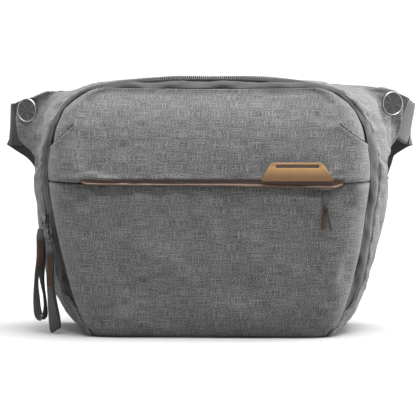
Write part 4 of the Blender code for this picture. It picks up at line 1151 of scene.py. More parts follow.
def gusset_points(s, t):
    top = smooth((np.minimum(s, 24 - s) - 9.6) / 0.7)[:, None]
    high = smooth((np.minimum(s, 24 - s) - 6.6) / 0.8)[:, None]
    seam = on("seam", s) + np.array([0, 4.9, 0.0]) + high * np.array([0, -1.4, 0.0]) + top * np.array([0, -0.6, -1.6])
    ring = on("gusset", s)
    side = on("side", s)
    end = ring + (side - ring) * band_end(s)[:, None]
    k = np.minimum(s, 24 - s)
    centre = np.array([0, 0, 100.0])
    outw = ring - centre
    outw[:, 1] = 0
    outw /= np.linalg.norm(outw, axis=1, keepdims=True)
    fold = 1 - smooth((k - 1.3) / 1.1)
    rows = []
    for v in t:
        flat = seam * (1 - v) ** 2 + 2 * v * (1 - v) * (ring + (ring - (seam + end) / 2) * 0.5) + end * v ** 2
        bow = math.sin(math.pi * v)
        crinkle = math.exp(-((v - 0.52) / 0.13) ** 2)
        flat = flat + outw * (bow * 0.3 * (1 - fold) - crinkle * 2.6 * fold - 2.4 * fold * v)[:, None]
        rows.append(flat)
    P = np.array(rows).transpose(1, 0, 2)
    low = np.maximum(0, 4.7 - P[..., 2]) * 0
    tail = np.maximum(0, 0.35 - k)[:, None] / 0.35
    P[..., 2] -= tail * 3.9
    P[..., 0] -= np.sign(P[..., 0]) * tail * 1.6
    return P


S_G = np.concatenate([np.linspace(0, 0.5, 14), np.linspace(0.55, 23.45, 420), np.linspace(23.5, 24, 14)])
T_G = params(15, 16, 1.0)
P = gusset_points(S_G, T_G)
n = out_normals(P)
edge = np.clip(edge_distance(P, "lr") / 3.0, 0, 1)
P = P + n * ((ripple(P, 30, 0.5, 8) + ripple(P, 12, 0.22, 24)) * edge)[..., None]
kk = np.minimum(S_G, 24 - S_G)
# painted shade on the gusset strip (the point attribute "shade"): darkest down in the gap by the front panel's edge,
# along the left flank that the lamps light less, and in the fold near the base; lighter over the top
painted_shade = 1 - smooth((T_G[None, :] - 0.42) / 0.50) * np.ones((len(S_G), 1))
painted_shade = np.maximum(painted_shade * (1 - 0.55 * smooth((kk - 9.9) / 0.8))[:, None], (1 - smooth((kk - 1.5) / 0.7))[:, None] * 0.9)
left_half = (S_G < 12)[:, None]
flank = smooth((kk - 5.3) / 1.2) * (1 - smooth((kk - 10.3) / 0.7))
painted_shade = np.maximum(painted_shade, np.where(left_half, 0.86, 0.6) * flank[:, None])
P[..., 2] -= 2.5 * smooth((kk - 10.2) / 0.7)[:, None] * smooth((T_G - 0.45) / 0.45)[None, :]
gusset = slab("gusset_band", P, 1.3, ("nylon_band", "lining"), INSIDE, 0.7, shade=painted_shade)
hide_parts("front_gusset", "lower_gusset_left", "lower_gusset_right")
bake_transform(gusset)

S_Z = np.linspace(2.0, 22.0, 400)


def zip_line(s, v, sink=0.0):
    g, d = on("gusset", s), on("side", s)
    p = g + (d - g) * np.asarray(v, float).reshape(-1, 1)
    o = p - np.array([0, 0, 100.0])
    o[:, 1] = 0
    o /= np.linalg.norm(o, axis=1, keepdims=True)
    return p - o * np.asarray(sink, float).reshape(-1, 1), o


VZ = zip_v(S_Z)
HIGH = (VZ - 0.5) / 0.36
TOP_K = smooth((np.minimum(S_Z, 24 - S_Z) - 9.9) / 0.8)
for name, node, body, v0, v1, lean in (("zip_tape_front", "main_zip_front", "front_cover", VZ - 0.30, VZ - 0.015, 2.3),
                                       ("zip_tape_rear", "main_zip_rear", "bag_body", VZ + 0.015, 0.985 + 0.05 * HIGH, 0.0)):
    P = np.stack([zip_line(S_Z, v0 + (v1 - v0) * t, 2.2 - 0.9 * HIGH + lean * TOP_K)[0] for t in np.linspace(0, 1, 6)], axis=1)
    put(slab(name, P, 0.7, ("zip_tape",), INSIDE, 0.3), body, node, slot="zip_tape")
coil_f, o_f = zip_line(S_Z, VZ - 0.07, 1.5 - 1.7 * HIGH + 2.2 * TOP_K)
coil_r, o_r = zip_line(S_Z, VZ + 0.07, 1.5 - 1.7 * HIGH - 0.2 * TOP_K)
across_v = coil_r - coil_f
for name, body, line, o in (("zip_coil_front", "front_cover", coil_f, o_f), ("zip_coil_rear", "bag_body", coil_r, o_r)):
    put(teeth(name, line, across_v, o, 1.7, (2.9, 1.2, 1.7)), body, slot="zip_tape")

# topstitching beside the zip
lines_f, lines_r = [], []
line, o = zip_line(S_Z, VZ - 0.14, -0.12)
lines_f.append((line, o))
put(stitches("gusset_stitches", lines_f, "thread", 2.6, 1.1, 0.22), "front_cover", slot="smooth_nylon")

# ================================================================ sides, top and wings: one padded band
WING_L = [(0, None), (5.5, (158.2, 135)), (6.0, (159.0, 142.5)), (6.3, (160.8, 148.8)), (6.7, (165.8, 155.6)), (7.0, (171.0, 159.8)),
          (7.3, (177.4, 166.5)), (7.65, (180.0, 178)), (7.95, (180.2, 188)), (8.2, (178.2, 196.4)), (8.4, (171.6, 201.6)), (8.6, (163.4, 204.6)),
          (8.8, (154.0, 208.6)), (9.0, (147.0, 210.6)), (9.2, (139.2, 210.2)), (9.45, (129.5, 211.0)), (9.7, (121.0, 212.2)), (10.0, (112.0, 213.6))]
WING_R = [(0, None), (5.5, (157.4, 135)), (6.0, (156.9, 146)), (6.4, (157.8, 154.6)), (6.8, (161.8, 161.2)), (7.1, (165.8, 166.4)),
          (7.45, (169.4, 174.6)), (7.8, (171.2, 185.3)), (8.1, (172.3, 194.1)), (8.35, (171.2, 201.6)), (8.55, (168.6, 207.0)), (8.7, (164.4, 210.9)),
          (8.9, (155.5, 213.2)), (9.1, (146.0, 214.7)), (9.3, (137.0, 215.7)), (9.5, (128.0, 216.2)), (9.7, (119.5, 216.2)), (10.0, (111.0, 215.8))]


def wing_depth(x):
    return 44.5 + np.maximum(0.0, np.abs(x) - 151.0) * WING_TAN


def outer_edge(k, right):
    """Outer edge of the side band at stations k (0 base to 12 top), as (x, y, z) on the +X side."""
    table = WING_R if right else WING_L
    base = on("rear", 24 - k if right else k) * np.array([1 if right else -1, 1, 1])
    ks = np.array([r[0] for r in table[1:]])
    v = np.array([r[1] for r in table[1:]], float)
    top = 10.0
    inside_k = np.clip(k, ks[0], ks[-1])
    i = np.clip(np.searchsorted(ks, inside_k, side="right") - 1, 0, len(ks) - 2)
    w = cr(v, i + (inside_k - ks[i]) / (ks[i + 1] - ks[i]))
    f = smooth((k - 5.0) / 0.5) * (1 - smooth((k - 9.75) / 0.6))
    x = base[:, 0] * (1 - f) + w[:, 0] * f
    z = base[:, 2] * (1 - f) + w[:, 1] * f
    y = 44.0 * (1 - f) + (wing_depth(x) + 0.3) * f
    return np.stack([x, y, z], axis=-1)


FRONT_EDGE = {
    False: [(0, -0.85), (1.15, -0.8), (1.45, -0.35), (1.75, 0.15), (2.0, 0.48), (2.1, 0.56), (7.6, 0.53), (8.2, 0.45), (8.6, 0.34), (9.0, 0.28), (9.5, 0.30),
            (9.9, 0.45), (10.4, 0.76), (10.8, 0.95), (12, 0.96)],
    True: [(0, -0.85), (0.75, -0.8), (1.1, -0.35), (1.4, 0.1), (1.75, 0.4), (2.1, 0.56), (6.2, 0.56), (6.7, 0.52), (7.1, 0.45), (7.6, 0.33), (8.0, 0.14),
           (8.5, 0.05), (9.2, 0.05), (9.6, 0.25), (9.95, 0.66), (10.3, 0.93), (12, 0.96)],
}


def side_rows(k, right, cols):
    """Rows of the band at stations k, from the zip round to the outer edge, on the +X side."""
    s = 24 - k if right else k
    flip = np.array([1 if right else -1, 1, 1])
    seam, ring, side, belly, rear = (on(r, s) * flip for r in ("seam", "gusset", "side", "belly", "rear"))
    edge = outer_edge(k, right)
    table = np.array(FRONT_EDGE[right], float)
    v = np.interp(k, table[:, 0], table[:, 1])[:, None]
    lead = np.where(v >= 0, ring + (side - ring) * v, ring + (seam - ring) * -v)
    away = lead - np.array([0, 0, 100.0])
    away[:, 1] = 0
    away /= np.linalg.norm(away, axis=1, keepdims=True)
    over = smooth((0.52 - v) / 0.25)
    lead = lead + away * (0.2 + 1.1 * over)
    lift_side = away * 1.2 * smooth((0.3 - v) / 0.3)
    flat_out = belly - np.array([0, 0, 100.0])
    flat_out[:, 1] = 0
    flat_out /= np.linalg.norm(flat_out, axis=1, keepdims=True)
    out = []
    for q in range(len(k)):
        a, b, e = side[q] + lift_side[q], belly[q], edge[q]
        m = (a + b) / 2 + flat_out[q] * 0.9
        front = np.vstack([lead[q] + (a - lead[q]) * np.linspace(0, 1, 9)[:, None], cr(np.array([a, m, b]), np.linspace(0, 2, 17))[1:]])
        reach = np.hypot(e[0] - b[0], e[2] - b[2])
        corner = np.array([b[0] + min(1.5, reach * 0.2), 44.0, b[2] + (e[2] - b[2]) * 0.35])
        if reach < 4:
            corner = b + (e - b) * np.array([0.5, 0.98, 0.5])
        r = min(15.0, reach * 0.62)
        d1 = corner - b
        d1 /= max(np.linalg.norm(d1), 1e-6)
        d2 = e - corner
        l2 = np.linalg.norm(d2)
        d2 = d2 / max(l2, 1e-6)
        c0, c1 = corner - d1 * r, corner + d2 * min(r, l2 * 0.6)
        t = np.linspace(0, 1, 14)[:, None]
        fil = c0 * (1 - t) ** 2 + 2 * t * (1 - t) * corner + c1 * t ** 2
        rest = c1 + (e - c1) * np.linspace(0, 1, 10)[1:, None]
        line = np.vstack([front, b + (c0 - b) * np.linspace(0, 1, 8)[1:-1, None], fil, rest])
        run = np.concatenate([[0], np.cumsum(np.linalg.norm(np.diff(line, axis=0), axis=1))])
        want = cols * run[-1]
        out.append(np.stack([np.interp(want, run, line[:, c]) for c in range(3)], axis=-1))
    out = np.array(out)
    for _ in range(5):
        out[:, 1:-1] = out[:, 1:-1] * 0.5 + (out[:, :-2] + out[:, 2:]) * 0.25
    return out


def backed(obj):
    """Behind the bag's rear seam the band's inner face is plain nylon, not lining."""
    for f in obj.data.polygons:
        if f.material_index == 1 and f.center.y > 0.038:
            f.material_index = 2
    return obj


COLS_S = params(64, 68, 2.2)
for side, right in (("left", False), ("right", True)):
    K = params(176, 300, 1.5) * 10.0
    K[-1] = 10.0
    mirror = np.array([1.0 if right else -1.0, 1, 1])
    make = lambda u, v: side_rows(np.asarray(v) * 10.0, right, np.asarray(u)) * mirror
    P = make(COLS_S, K / 10)
    cu, cv = np.linspace(0, 1, 22), np.linspace(0, 1, 44)
    moved = settle(make(cu, cv), INSIDE, 1.8, 0.012, 0.3, 1.8, 14)
    P = P + resample(moved, COLS_S, K / 10)
    tail = np.maximum(0, 0.4 - K)[:, None] / 0.4
    P[..., 2] -= tail * 3.9
    n = out_normals(P)
    free = np.clip(edge_distance(P, "lrbt") / 7, 0, 1)
    high = smooth((P[..., 2] - 128) / 30)
    back = smooth((P[..., 1] - 18) / 16)
    relief = ripple(P, 44, 0.5 + 0.35 * high, 3) + ripple(P, 17, 0.16 + 0.22 * high * back, 22)
    P = P + n * (relief * free)[..., None]
    sx = 1 if right else -1
    if right:
        P = crease(P, n, (146.5, 155.8), (157.5, 145.4), 1.3, 1.6, 0.2, 4)
        P = crease(P, n, (152, 168), (166, 176), 0.9, 4.0)
        P = crease(P, n, (150, 186), (160, 178), 0.8, 4.0)
    else:
        P = crease(P, n, (-148.8, 150.8), (-157.8, 141.8), 1.3, 1.6, 0.2, 4)
        P = crease(P, n, (-153, 164), (-170, 171), 0.9, 4.0)
        P = crease(P, n, (-150, 184), (-163, 176), 0.8, 4.0)
        P = crease(P, n, (-134, 209), (-139, 193), 0.6, 5.0)
    thick = 3.4 + 1.6 * high * back
    band = backed(slab("side_wing_" + side, P, thick, ("heather", "lining", "nylon"), INSIDE, 2.2))
    # no corner of the fold may stand above the wing's own top edge
    rim = outer_edge(np.linspace(8.2, 10.0, 90), right)[::-1]
    for vert in band.data.vertices:
        if vert.co.y > 0.036 and abs(vert.co.x) > 0.118 and vert.co.z > 0.2:
            vert.co.z = min(vert.co.z, (float(np.interp(abs(vert.co.x) / MM, rim[:, 0], rim[:, 2])) + 0.4) * MM)
    put(band, "bag_body", "side_panel_" + side, "wing_" + side, slot="heather_fabric", fill=0.35)
    if side == "left":
        P_LEFT = P
    else:
        P_RIGHT = P

K = np.linspace(10.0, 14.0, 90)
kk = np.minimum(K, 24 - K)
left_part, right_part = side_rows(kk, False, COLS_S) * np.array([-1, 1, 1]), side_rows(kk, True, COLS_S)
w = smooth((K - 11.0) / 2.0)[:, None, None]
left_full = left_part.copy()
left_full[K > 12] *= np.array([-1, 1, 1])
right_full = right_part.copy()
right_full[K < 12] *= np.array([-1, 1, 1])
P = left_full * (1 - w) + right_full * w
n = out_normals(P)
free = np.clip(edge_distance(P, "lrbt") / 7, 0, 1)
P = P + n * (ripple(P, 50, 0.5, 9) * free)[..., None]
P[..., 1] += 3.2 * smooth((P[..., 1] - 38.0) / 6.0) * smooth((kk - 10.0) / 0.5)[:, None]
P[..., 2] -= 1.6 * smooth((kk - 10.0) / 0.7)[:, None] * np.exp(-COLS_S * 68 / 7.0)[None, :]
put(backed(slab("top_band", P, 3.4, ("heather", "lining", "nylon"), INSIDE, 1.8)), "bag_body", "top_rear_panel", slot="heather_fabric", fill=0.35)

# ================================================================ strap swivels
def orient(frame_m, shift=(0, 0, 0)):
    m = np.array(frame_m, float)
    m[:3, 3] = m[:3, 3] + m[:3, :3] @ np.asarray(shift, float)
    return m


DISCS = {}
STRAPS = {}
for side, sx, (dx, dz) in (("left", -1, (-167.5, 193.0)), ("right", 1, (160.5, 199.5))):
    centre = np.array([dx, 44.5 + max(0.0, abs(dx) - 151.0) * WING_TAN, dz])
    th = math.atan(WING_TAN)
    normal = np.array([sx * math.sin(th), -math.cos(th), 0.0])
    fm = frame_of(centre, (0, 0, 1), normal)
    # turned face, bevel rings and edge; the face has only its lathe rings, with painted reflections in light and dark
    # sectors
    prof = [(0, 2.30), (1.2, 2.31), (3, 2.33), (5, 2.35), (7.2, 2.37), (8.8, 2.39), (9.45, 2.38), (9.6, 2.05), (9.75, 2.05), (9.9, 2.42),
            (10.1, 2.55), (10.35, 2.52), (10.6, 2.2), (10.7, 1.7), (10.7, 0.9), (10.2, 0.35), (3, 0.35), (0, 0.35)]
    # sh, per profile point, paints a highlight on the bevel ring and the disc's edge
    sh = [0, 0, 0, 0, 0, 0, 0.05, 0.0, 0.1, 0.9, 1, 1, 0.7, 0.25, 0.1, 0.1, 0, 0]
    put(revolve("disc_" + side, prof, fm, "disc", 96, sh), "bag_body", "strap_disc_" + side, slot="turned_metal")
    put(revolve("rivet_shaft_" + side, [(0, 1.0), (2.8, 1.0), (2.8, -9.2), (0, -9.2)], fm, "steel", 32), "bag_body", slot="steel")
    put(revolve("rivet_" + side, [(0, -9.4), (6.7, -9.4), (7.15, -9.7), (7.2, -10.4), (6.9, -10.9), (6.2, -11.35), (4.6, -11.4), (4.2, -11.0), (2.0, -10.9), (0, -10.9)],
                fm, "steel", 48), "bag_body", "rivet_cap_" + side, slot="turned_metal")
    # points of a ring in the wing round the disc; no stitches are built from them
    ring = [centre + fm[:3, 0] * 13.6 * math.cos(t) + fm[:3, 1] * 13.6 * math.sin(t) + normal * 0.6 for t in np.linspace(0, 2 * math.pi, 60)]
    keep = [(p, normal) for p in ring if abs(p[0]) < (176.0 if side == "left" else 169.0)]
    # strap end plate, doubled webbing with a boxed stitch
    fall = math.radians(22)
    outd = np.array([sx * math.cos(th), math.sin(th), 0.0])
    along = outd * math.cos(fall) - np.array([0, 0, 1.0]) * math.sin(fall)
    pm = frame_of(centre - normal * 8.7, along, normal)
    flip = 1 if pm[2, 1] > 0 else -1
    outline = [(7.0 * math.cos(math.pi / 2 + math.pi * i / 16), 7.0 * math.sin(math.pi / 2 + math.pi * i / 16)) for i in range(17)]
    outline += [(9.5, -25.2), (20, -25.2), (21, -24.2), (21, 11.8), (20, 12.8), (6, 12.8)]
    outline = [(x, y * flip) for x, y in outline]
    hole = [(3.3 * math.cos(t), 3.3 * math.sin(t)) for t in np.linspace(0, 2 * math.pi, 25)[:-1]]
    end = plate("strap_end_" + side, outline, 2.5, "web", orient(pm, (0, 0, 1.3)), 0.7, [hole], 0.5)
    put(end, "anchor_" + side, "strap_anchor_" + side, slot="webbing")
    eyelet = revolve("eyelet_" + side, [(3.2, -0.2), (3.2, 2.9), (3.6, 3.1), (4.8, 3.05), (5.1, 2.7), (5.1, 2.5), (5.1, 0.1), (5.0, -0.25), (3.6, -0.35), (3.2, -0.2)],
                     orient(pm, (0, 0, 0)), "steel", 40)
    put(eyelet, "anchor_" + side, slot="steel")
    box = [(11.0, -22.5), (19.0, -22.5), (19.0, 10.6), (11.0, 10.6), (11.0, -22.5), (19.0, 10.6), (11.0, 10.6), (19.0, -22.5)]
    lines = []
    for a, b in zip(box, box[1:]):
        q = np.array([[a[0] + (b[0] - a[0]) * t, (a[1] + (b[1] - a[1]) * t) * flip, 2.62, 1] for t in np.linspace(0, 1, 16)])
        lines.append((q @ pm.T[:, :3], np.tile(normal, (16, 1))))
    put(stitches("end_stitches_" + side, lines, "thread_dark", 2.2, 0.9, 0.2, 0.02), "anchor_" + side, slot="webbing")

    # webbing from the end plate round behind the wing and down behind the bag
    w0 = pm[:3, 1] * flip
    p0 = centre - normal * 10.1 + along * 10 - w0 * 6.2
    right = side == "right"
    s_x, s_z = (179.6, 180.0) if right else (186.2, 178.6)
    tilt = 0.16 if right else -0.05
    st = [(p0, w0), (p0 + along * 10, w0),
          ((sx * (s_x - 2.6), 77.4, s_z + 0.8), (sx * tilt, 0, 1)),
          ((sx * s_x, 83.2, s_z), (sx * tilt, 0, 1)),
          ((sx * (s_x - 3.6), 89.0, s_z - 1.5), (sx * (tilt - 0.12), 0, 1))]
    if right:
        st += [((165.5, 92.0, 173.8), (-0.24, 0.02, 0.97)), ((149.6, 91.6, 162.0), (-0.34, 0, 0.94)), ((143.2, 90.4, 145.5), (-0.68, 0, 0.73))]
    else:
        st += [((-172.5, 92.0, 170.5), (0.24, 0.02, 0.97)), ((-156.0, 92.0, 158.0), (0.42, 0, 0.90))]
    st += [((sx * 137.5, 89.0, 131.5), (-sx * 0.757, 0, 0.653)),
           ((sx * 119.0, 86.0, 110.0), (-sx * 0.757, 0, 0.653)),
           ((sx * 101.0, 83.5, 87.5), (-sx * 0.78, 0.05, 0.62)),
           ((sx * 86.0, 81.5, 62.0), (-sx * 0.80, 0.30, 0.45)),
           ((sx * 73.5, 80.5, 36.0), (-sx * 0.62, 0.75, 0.25)),
           ((sx * 58.0, 80.5, 14.0), (-sx * 0.2, 0.97, 0.08)),
           ((sx * 36.0, 81.0, 3.4), (0, 1, 0)), ((sx * 10.0, 81.0, 2.0), (0, 1, 0)), ((sx * 0.2, 81.0, 2.0), (0, 1, 0))]
    strap = ribbon("strap_" + side, [np.array(p, float) for p, _ in st], [38.0] * len(st), [np.array(w, float) for _, w in st], 1.8, "web", 300, 0.3, across=12)
    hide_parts("strap_webbing_" + side)
    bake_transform(strap)
    STRAPS[side] = [np.array(p, float) for p, _ in st]

# adjuster, its tab and the keeper
ADJ_A, ADJ_B = np.array([137.5, 89.0, 131.5]), np.array([119.0, 86.0, 110.0])
run = (ADJ_B - ADJ_A) / np.linalg.norm(ADJ_B - ADJ_A)
adj_n = np.cross(run, np.array([-0.757, 0, 0.653]))
adj_n /= np.linalg.norm(adj_n)
adj_n = adj_n if adj_n[1] > 0 else -adj_n
am = frame_of((ADJ_A + ADJ_B) / 2, run, adj_n)
frame_plate = plate("adjuster_frame", round_rect(21, 47, 3.0), 1.9, "alloy", orient(am, (0, 0, 2.75)), 0.6,
                    [round_rect(5.4, 36.4, 1.6, -4.9), round_rect(5.4, 36.4, 1.6, 4.9)])
back_plate = plate("adjuster_back", round_rect(21, 47, 3.0), 0.7, "alloy", orient(am, (0, 0, -2.2)), 0.3)
for k, y in enumerate((-22.4, 22.4)):
    put(plate("adjuster_cheek_%d" % k, round_rect(20.4, 2.1, 0.9, 0, y), 4.6, "alloy", orient(am, (0, 0, 0.3)), 0.5), "adjuster", slot="turned_metal")
put(frame_plate, "adjuster", "strap_adjuster", slot="turned_metal")
put(back_plate, "adjuster", slot="turned_metal")
tm = orient(am, (11.4, 0, 2.8))
tab_pts = [np.array([*(tm @ np.array([x, 0, z, 1]))[:3]]) for x, z in ((0.6, 0.9), (7, 0.95), (14, 0.9), (21, 0.85), (26.6, 0.85))]
put(ribbon("adjuster_tab_loop", tab_pts, [23.0, 24, 24, 24, 22.5], [tm[:3, 1]] * 5, 1.5, "web", 40, 0.8), "adjuster_tab", "adjuster_pull_tab", slot="webbing")
lines = []
for a, b in (((4, -9.5), (23, -9.5)), ((23, -9.5), (23, 9.5)), ((23, 9.5), (4, 9.5)), ((4, 9.5), (4, -9.5))):
    q = np.array([[a[0] + (b[0] - a[0]) * t, a[1] + (b[1] - a[1]) * t, 1.68, 1] for t in np.linspace(0, 1, 10)])
    lines.append((q @ tm.T[:, :3], np.tile(adj_n, (10, 1))))
put(stitches("adjuster_tab_stitches", lines, "thread", 2.2, 0.9, 0.2), "adjuster_tab", slot="webbing")

loop = []
for i in range(64):
    t = 2 * math.pi * i / 64
    c, s = math.cos(t), math.sin(t)
    loop.append(np.array([0, 81.0 + 20.1 * np.sign(c) * abs(c) ** 0.35, 2.45 + 1.75 * np.sign(s) * abs(s) ** 0.5]))
keeper_pts = np.array(loop)


def band_loop(name, pts, width, axis, thick, mat):
    """A closed band of elastic: pts is its middle line, axis the direction of its width."""
    n = len(pts)
    t = np.roll(pts, -1, 0) - np.roll(pts, 1, 0)
    t /= np.linalg.norm(t, axis=1, keepdims=True)
    ax = np.asarray(axis, float)
    nn = np.cross(t, ax)
    nn /= np.linalg.norm(nn, axis=1, keepdims=True)
    sec = [(-0.5, 0.3), (-0.46, 0.5), (0.46, 0.5), (0.5, 0.3), (0.5, -0.3), (0.46, -0.5), (-0.46, -0.5), (-0.5, -0.3)]
    verts, uvs, faces = [], [], []
    run = np.concatenate([[0], np.cumsum(np.linalg.norm(np.diff(pts, axis=0), axis=1))])
    for q in range(n):
        for a, b in sec:
            verts.append(pts[q] + ax * a * width + nn[q] * b * thick)
            uvs.append((a * width, run[q]))
    for q in range(n):
        for i in range(8):
            j, r = (i + 1) % 8, (q + 1) % n
            faces.append((q * 8 + i, q * 8 + j, r * 8 + j, r * 8 + i))
    obj = make_mesh(name, verts, faces, uvs, (mat,))
    obj.data.set_sharp_from_angle(angle=math.radians(50))
    fix_normals(obj)
    return obj


put(band_loop("keeper", keeper_pts, 16.0, (1, 0, 0), 1.0, "web"), "bag_body", "strap_keeper", slot="webbing")

# low carry loops: folded webbing, both ends in the side seam
for side, sx in (("left", -1), ("right", 1)):
    c = [(126, 29.5), (131.5, 26.4), (136.5, 26.4), (140.6, 30.2), (142.4, 35.0), (140.4, 38.0), (136.5, 36.6), (131, 32.6)]
    pts = [np.array([sx * x + (-4.0 if side == "right" else -3.0), 56.3, z]) for x, z in c]
    put(ribbon("carry_" + side, pts, [7.4] * len(pts), [np.array([0, 1.0, 0])] * len(pts), 1.5, "web_pull", 70, 0.4), "bag_body",
        "carry_loop_" + side, slot="webbing")

# ================================================================ main sliders, rings and pulls
def slider_at(label, z, tilt_deg, lift, body, pull_body):
    s = float(np.interp(z, on("side", np.linspace(0, 10, 801))[:, 2], np.linspace(0, 10, 801)))
    mid = lambda q: (on("gusset", np.array([q]))[0] + on("side", np.array([q]))[0]) / 2
    here = mid(s)
    up = mid(s + 0.1) - mid(s - 0.1)
    up[1] = 0
    up /= np.linalg.norm(up)
    t = math.radians(tilt_deg)
    out = np.array([-math.cos(t), -math.sin(t), 0])
    out = out - out.dot(up) * up
    out /= np.linalg.norm(out)
    fm = frame_of(here + out * lift, np.cross(up, out), out)
    k = 0.8
    outline = [(-2.3, -6), (2.3, -6), (2.8, -3), (3.2, -0.6), (4.3, 2.6), (4.4, 4.6), (3.6, 6.2), (1.2, 6.4), (0, 5.4), (-1.2, 6.4), (-3.6, 6.2), (-4.4, 4.6),
               (-4.3, 2.6), (-3.2, -0.6), (-2.8, -3)]
    outline = polygon([(x * k, y * k) for x, y in outline], 0.8, 3)
    top = plate("slider_top_" + label, outline, 1.15, "steel", orient(fm, (0, 0, 3.1 * k)), 0.35)
    low = plate("slider_base_" + label, outline, 1.0, "steel", orient(fm, (0, 0, 1.0 * k)), 0.35)
    bridge = [fm[:3, 3] + fm[:3, 1] * y * k + fm[:3, 2] * h * k for y, h in
              ((-4.6, 3.0), (-4.7, 5.0), (-4.1, 6.9), (-2.6, 7.8), (0, 8.05), (2.6, 7.8), (4.1, 6.9), (4.7, 5.0), (4.6, 3.0))]
    bridge = cr(np.array(bridge), np.linspace(0, 8, 40))
    arch = ribbon("slider_bridge_" + label, [b for b in bridge[::3]], [2.6 * k] * len(bridge[::3]), [fm[:3, 0]] * len(bridge[::3]), 0.95, "steel", 40, 0.2, across=3)
    put(top, body, "main_slider_" + label, slot="steel")
    put(low, body, slot="steel")
    put(arch, body, slot="steel")
    pivot = here + out * (lift + 5.0 * k) - up * 1.2
    side_dir = np.cross(up, out)
    ring_centre = pivot + np.array([0, 0, -3.2])
    upv = np.array([0, 0, 1.0])
    pts = []
    for h in range(2):
        sg = 1 if h == 0 else -1
        for i in range(13):
            a = math.pi * i / 12
            pts.append(ring_centre + sg * (upv * 0.4 + side_dir * 3.1 * math.cos(a) + upv * 3.1 * math.sin(a)))
    put(wire("pull_ring_" + label, pts, 0.6, "steel", 12), pull_body, "slider_ring_" + label, slot="steel")
    return pivot, side_dir, up


piv_a = slider_at("upper", 100.0, 28, 0.2, "slider_upper", "pull_upper")
piv_b = slider_at("lower", 86.4, 80, 2.3, "slider_lower", "pull_lower")
top_a, top_b = piv_a[0] + [0, 0, -7.2], piv_b[0] + [0, 0, -7.2]


def pull(label, body, path, widths, dirs, insert, node, insert_w):
    """A long loop of narrow webbing, with a stitched leather-brown insert below the ring."""
    obj = ribbon("pull_loop_" + label, path, widths, dirs, 1.35, "web_pull", 150, 0.35, across=6)
    put(obj, body, node, slot="webbing")
    m = len(path)
    s = np.linspace(insert[0], insert[1], 12)
    p, d = cr(path, s), cr(dirs, s)
    t = np.gradient(cr(path, s), axis=0)
    t /= np.linalg.norm(t, axis=1, keepdims=True)
    d = d - (d * t).sum(1, keepdims=True) * t
    d /= np.linalg.norm(d, axis=1, keepdims=True)
    n = np.cross(t, d)
    n = n * np.sign(-n[:, 1:2] - 1e-9)
    q = p + n * 1.0
    put(ribbon("pull_insert_" + label, list(q), list(np.full(12, insert_w)), list(d), 0.9, "rust", 60, 0.3, across=6), body, slot="hem_leather")
    lines = []
    for side in (-1, 1):
        lines.append((q + d * side * (insert_w / 2 - 0.9) + n * 0.52, n))
    for k in (1, 10):
        w = np.linspace(-1, 1, 5)[:, None] * (insert_w / 2 - 0.9)
        lines.append((q[k] + d[k] * w + n[k] * 0.52, np.tile(n[k], (5, 1))))
    put(stitches("pull_stitches_" + label, lines, "thread", 1.5, 0.7, 0.17, 0.02), body, slot="webbing")
    return obj


v = lambda *p: np.array(p, float)
path_a = [v(-149.3, top_a[1] + 1.6, 90.6), v(-149.4, -22.8, 84.0), v(-149.2, -23.2, 74.0), v(-149.6, -23.6, 64.0), v(-151.8, -24.0, 54.0), v(-152.8, -24.4, 44.0),
          v(-152.6, -24.8, 32.0), v(-152.0, -25.0, 22.0), v(-150.8, -24.8, 15.5), v(-148.2, -24.2, 13.2), v(-145.6, -23.4, 15.2), v(-144.9, -22.8, 22.0),
          v(-145.8, -22.0, 32.0), v(-147.4, -21.4, 42.0), v(-148.3, -21.0, 52.0), v(-147.8, -20.8, 64.0), v(-148.0, -20.8, 76.0), v(-148.6, -20.8, 84.0)]
w_a = [5.2, 6.5, 6.8, 6.6, 5.6, 5.8, 6.8, 7.6, 7.8, 7.6, 7.6, 7.4, 6.8, 6.4, 6.6, 6.8, 6.6, 6.0]
dir_a = [v(0.95, 0.3, 0), v(0.97, 0.25, 0), v(0.96, 0.28, 0), v(0.93, 0.36, 0), v(0.7, 0.72, 0), v(0.55, 0.83, 0), v(0.75, 0.66, 0), v(0.8, 0.6, 0), v(0.82, 0.55, 0.1),
         v(0.85, 0.5, 0), v(0.6, 0.8, 0), v(0.3, 0.95, 0), v(0.2, 0.98, 0), v(0.4, 0.9, 0), v(0.7, 0.7, 0), v(0.93, 0.36, 0), v(0.97, 0.25, 0), v(0.97, 0.25, 0)]
pull("upper", "pull_upper", path_a, w_a, dir_a, (1.3, 3.7), "zip_pull_upper", 5.2)
path_b = [v(-140.6, top_b[1] + 0.4, 79.0), v(-140.2, -31.4, 73.0), v(-140.0, -32.0, 64.0), v(-140.1, -32.3, 52.0), v(-140.2, -32.6, 41.0), v(-139.4, -33.0, 33.0),
          v(-138.5, -33.4, 25.0), v(-137.4, -33.9, 17.0), v(-136.4, -34.2, 10.0), v(-135.5, -34.0, 4.6), v(-134.6, -32.6, 3.4), v(-134.6, -31.2, 6.0),
          v(-135.4, -30.8, 16.0), v(-137.2, -30.4, 28.0), v(-139.0, -29.8, 41.0), v(-139.6, -29.4, 54.0), v(-139.8, -29.2, 66.0), v(-140.2, -29.2, 73.0)]
w_b = [5.0, 6.2, 6.5, 6.3, 5.4, 6.0, 7.2, 8.4, 9.4, 9.6, 9.6, 9.2, 8.2, 7.0, 6.2, 6.2, 6.4, 6.0]
dir_b = [v(0.98, -0.15, 0), v(0.98, -0.18, 0), v(0.98, -0.2, 0), v(0.98, -0.2, 0), v(0.94, -0.34, 0.04), v(0.9, -0.3, 0.12), v(0.88, -0.26, 0.2), v(0.86, -0.22, 0.32),
         v(0.83, -0.2, 0.45), v(0.8, -0.2, 0.52), v(0.8, -0.2, 0.52), v(0.82, -0.2, 0.46), v(0.86, -0.22, 0.3), v(0.9, -0.26, 0.15), v(0.94, -0.3, 0.05), v(0.98, -0.2, 0),
         v(0.98, -0.2, 0), v(0.98, -0.18, 0)]
pull("lower", "pull_lower", path_b, w_b, dir_b, (1.3, 3.9), "zip_pull_lower", 4.8)

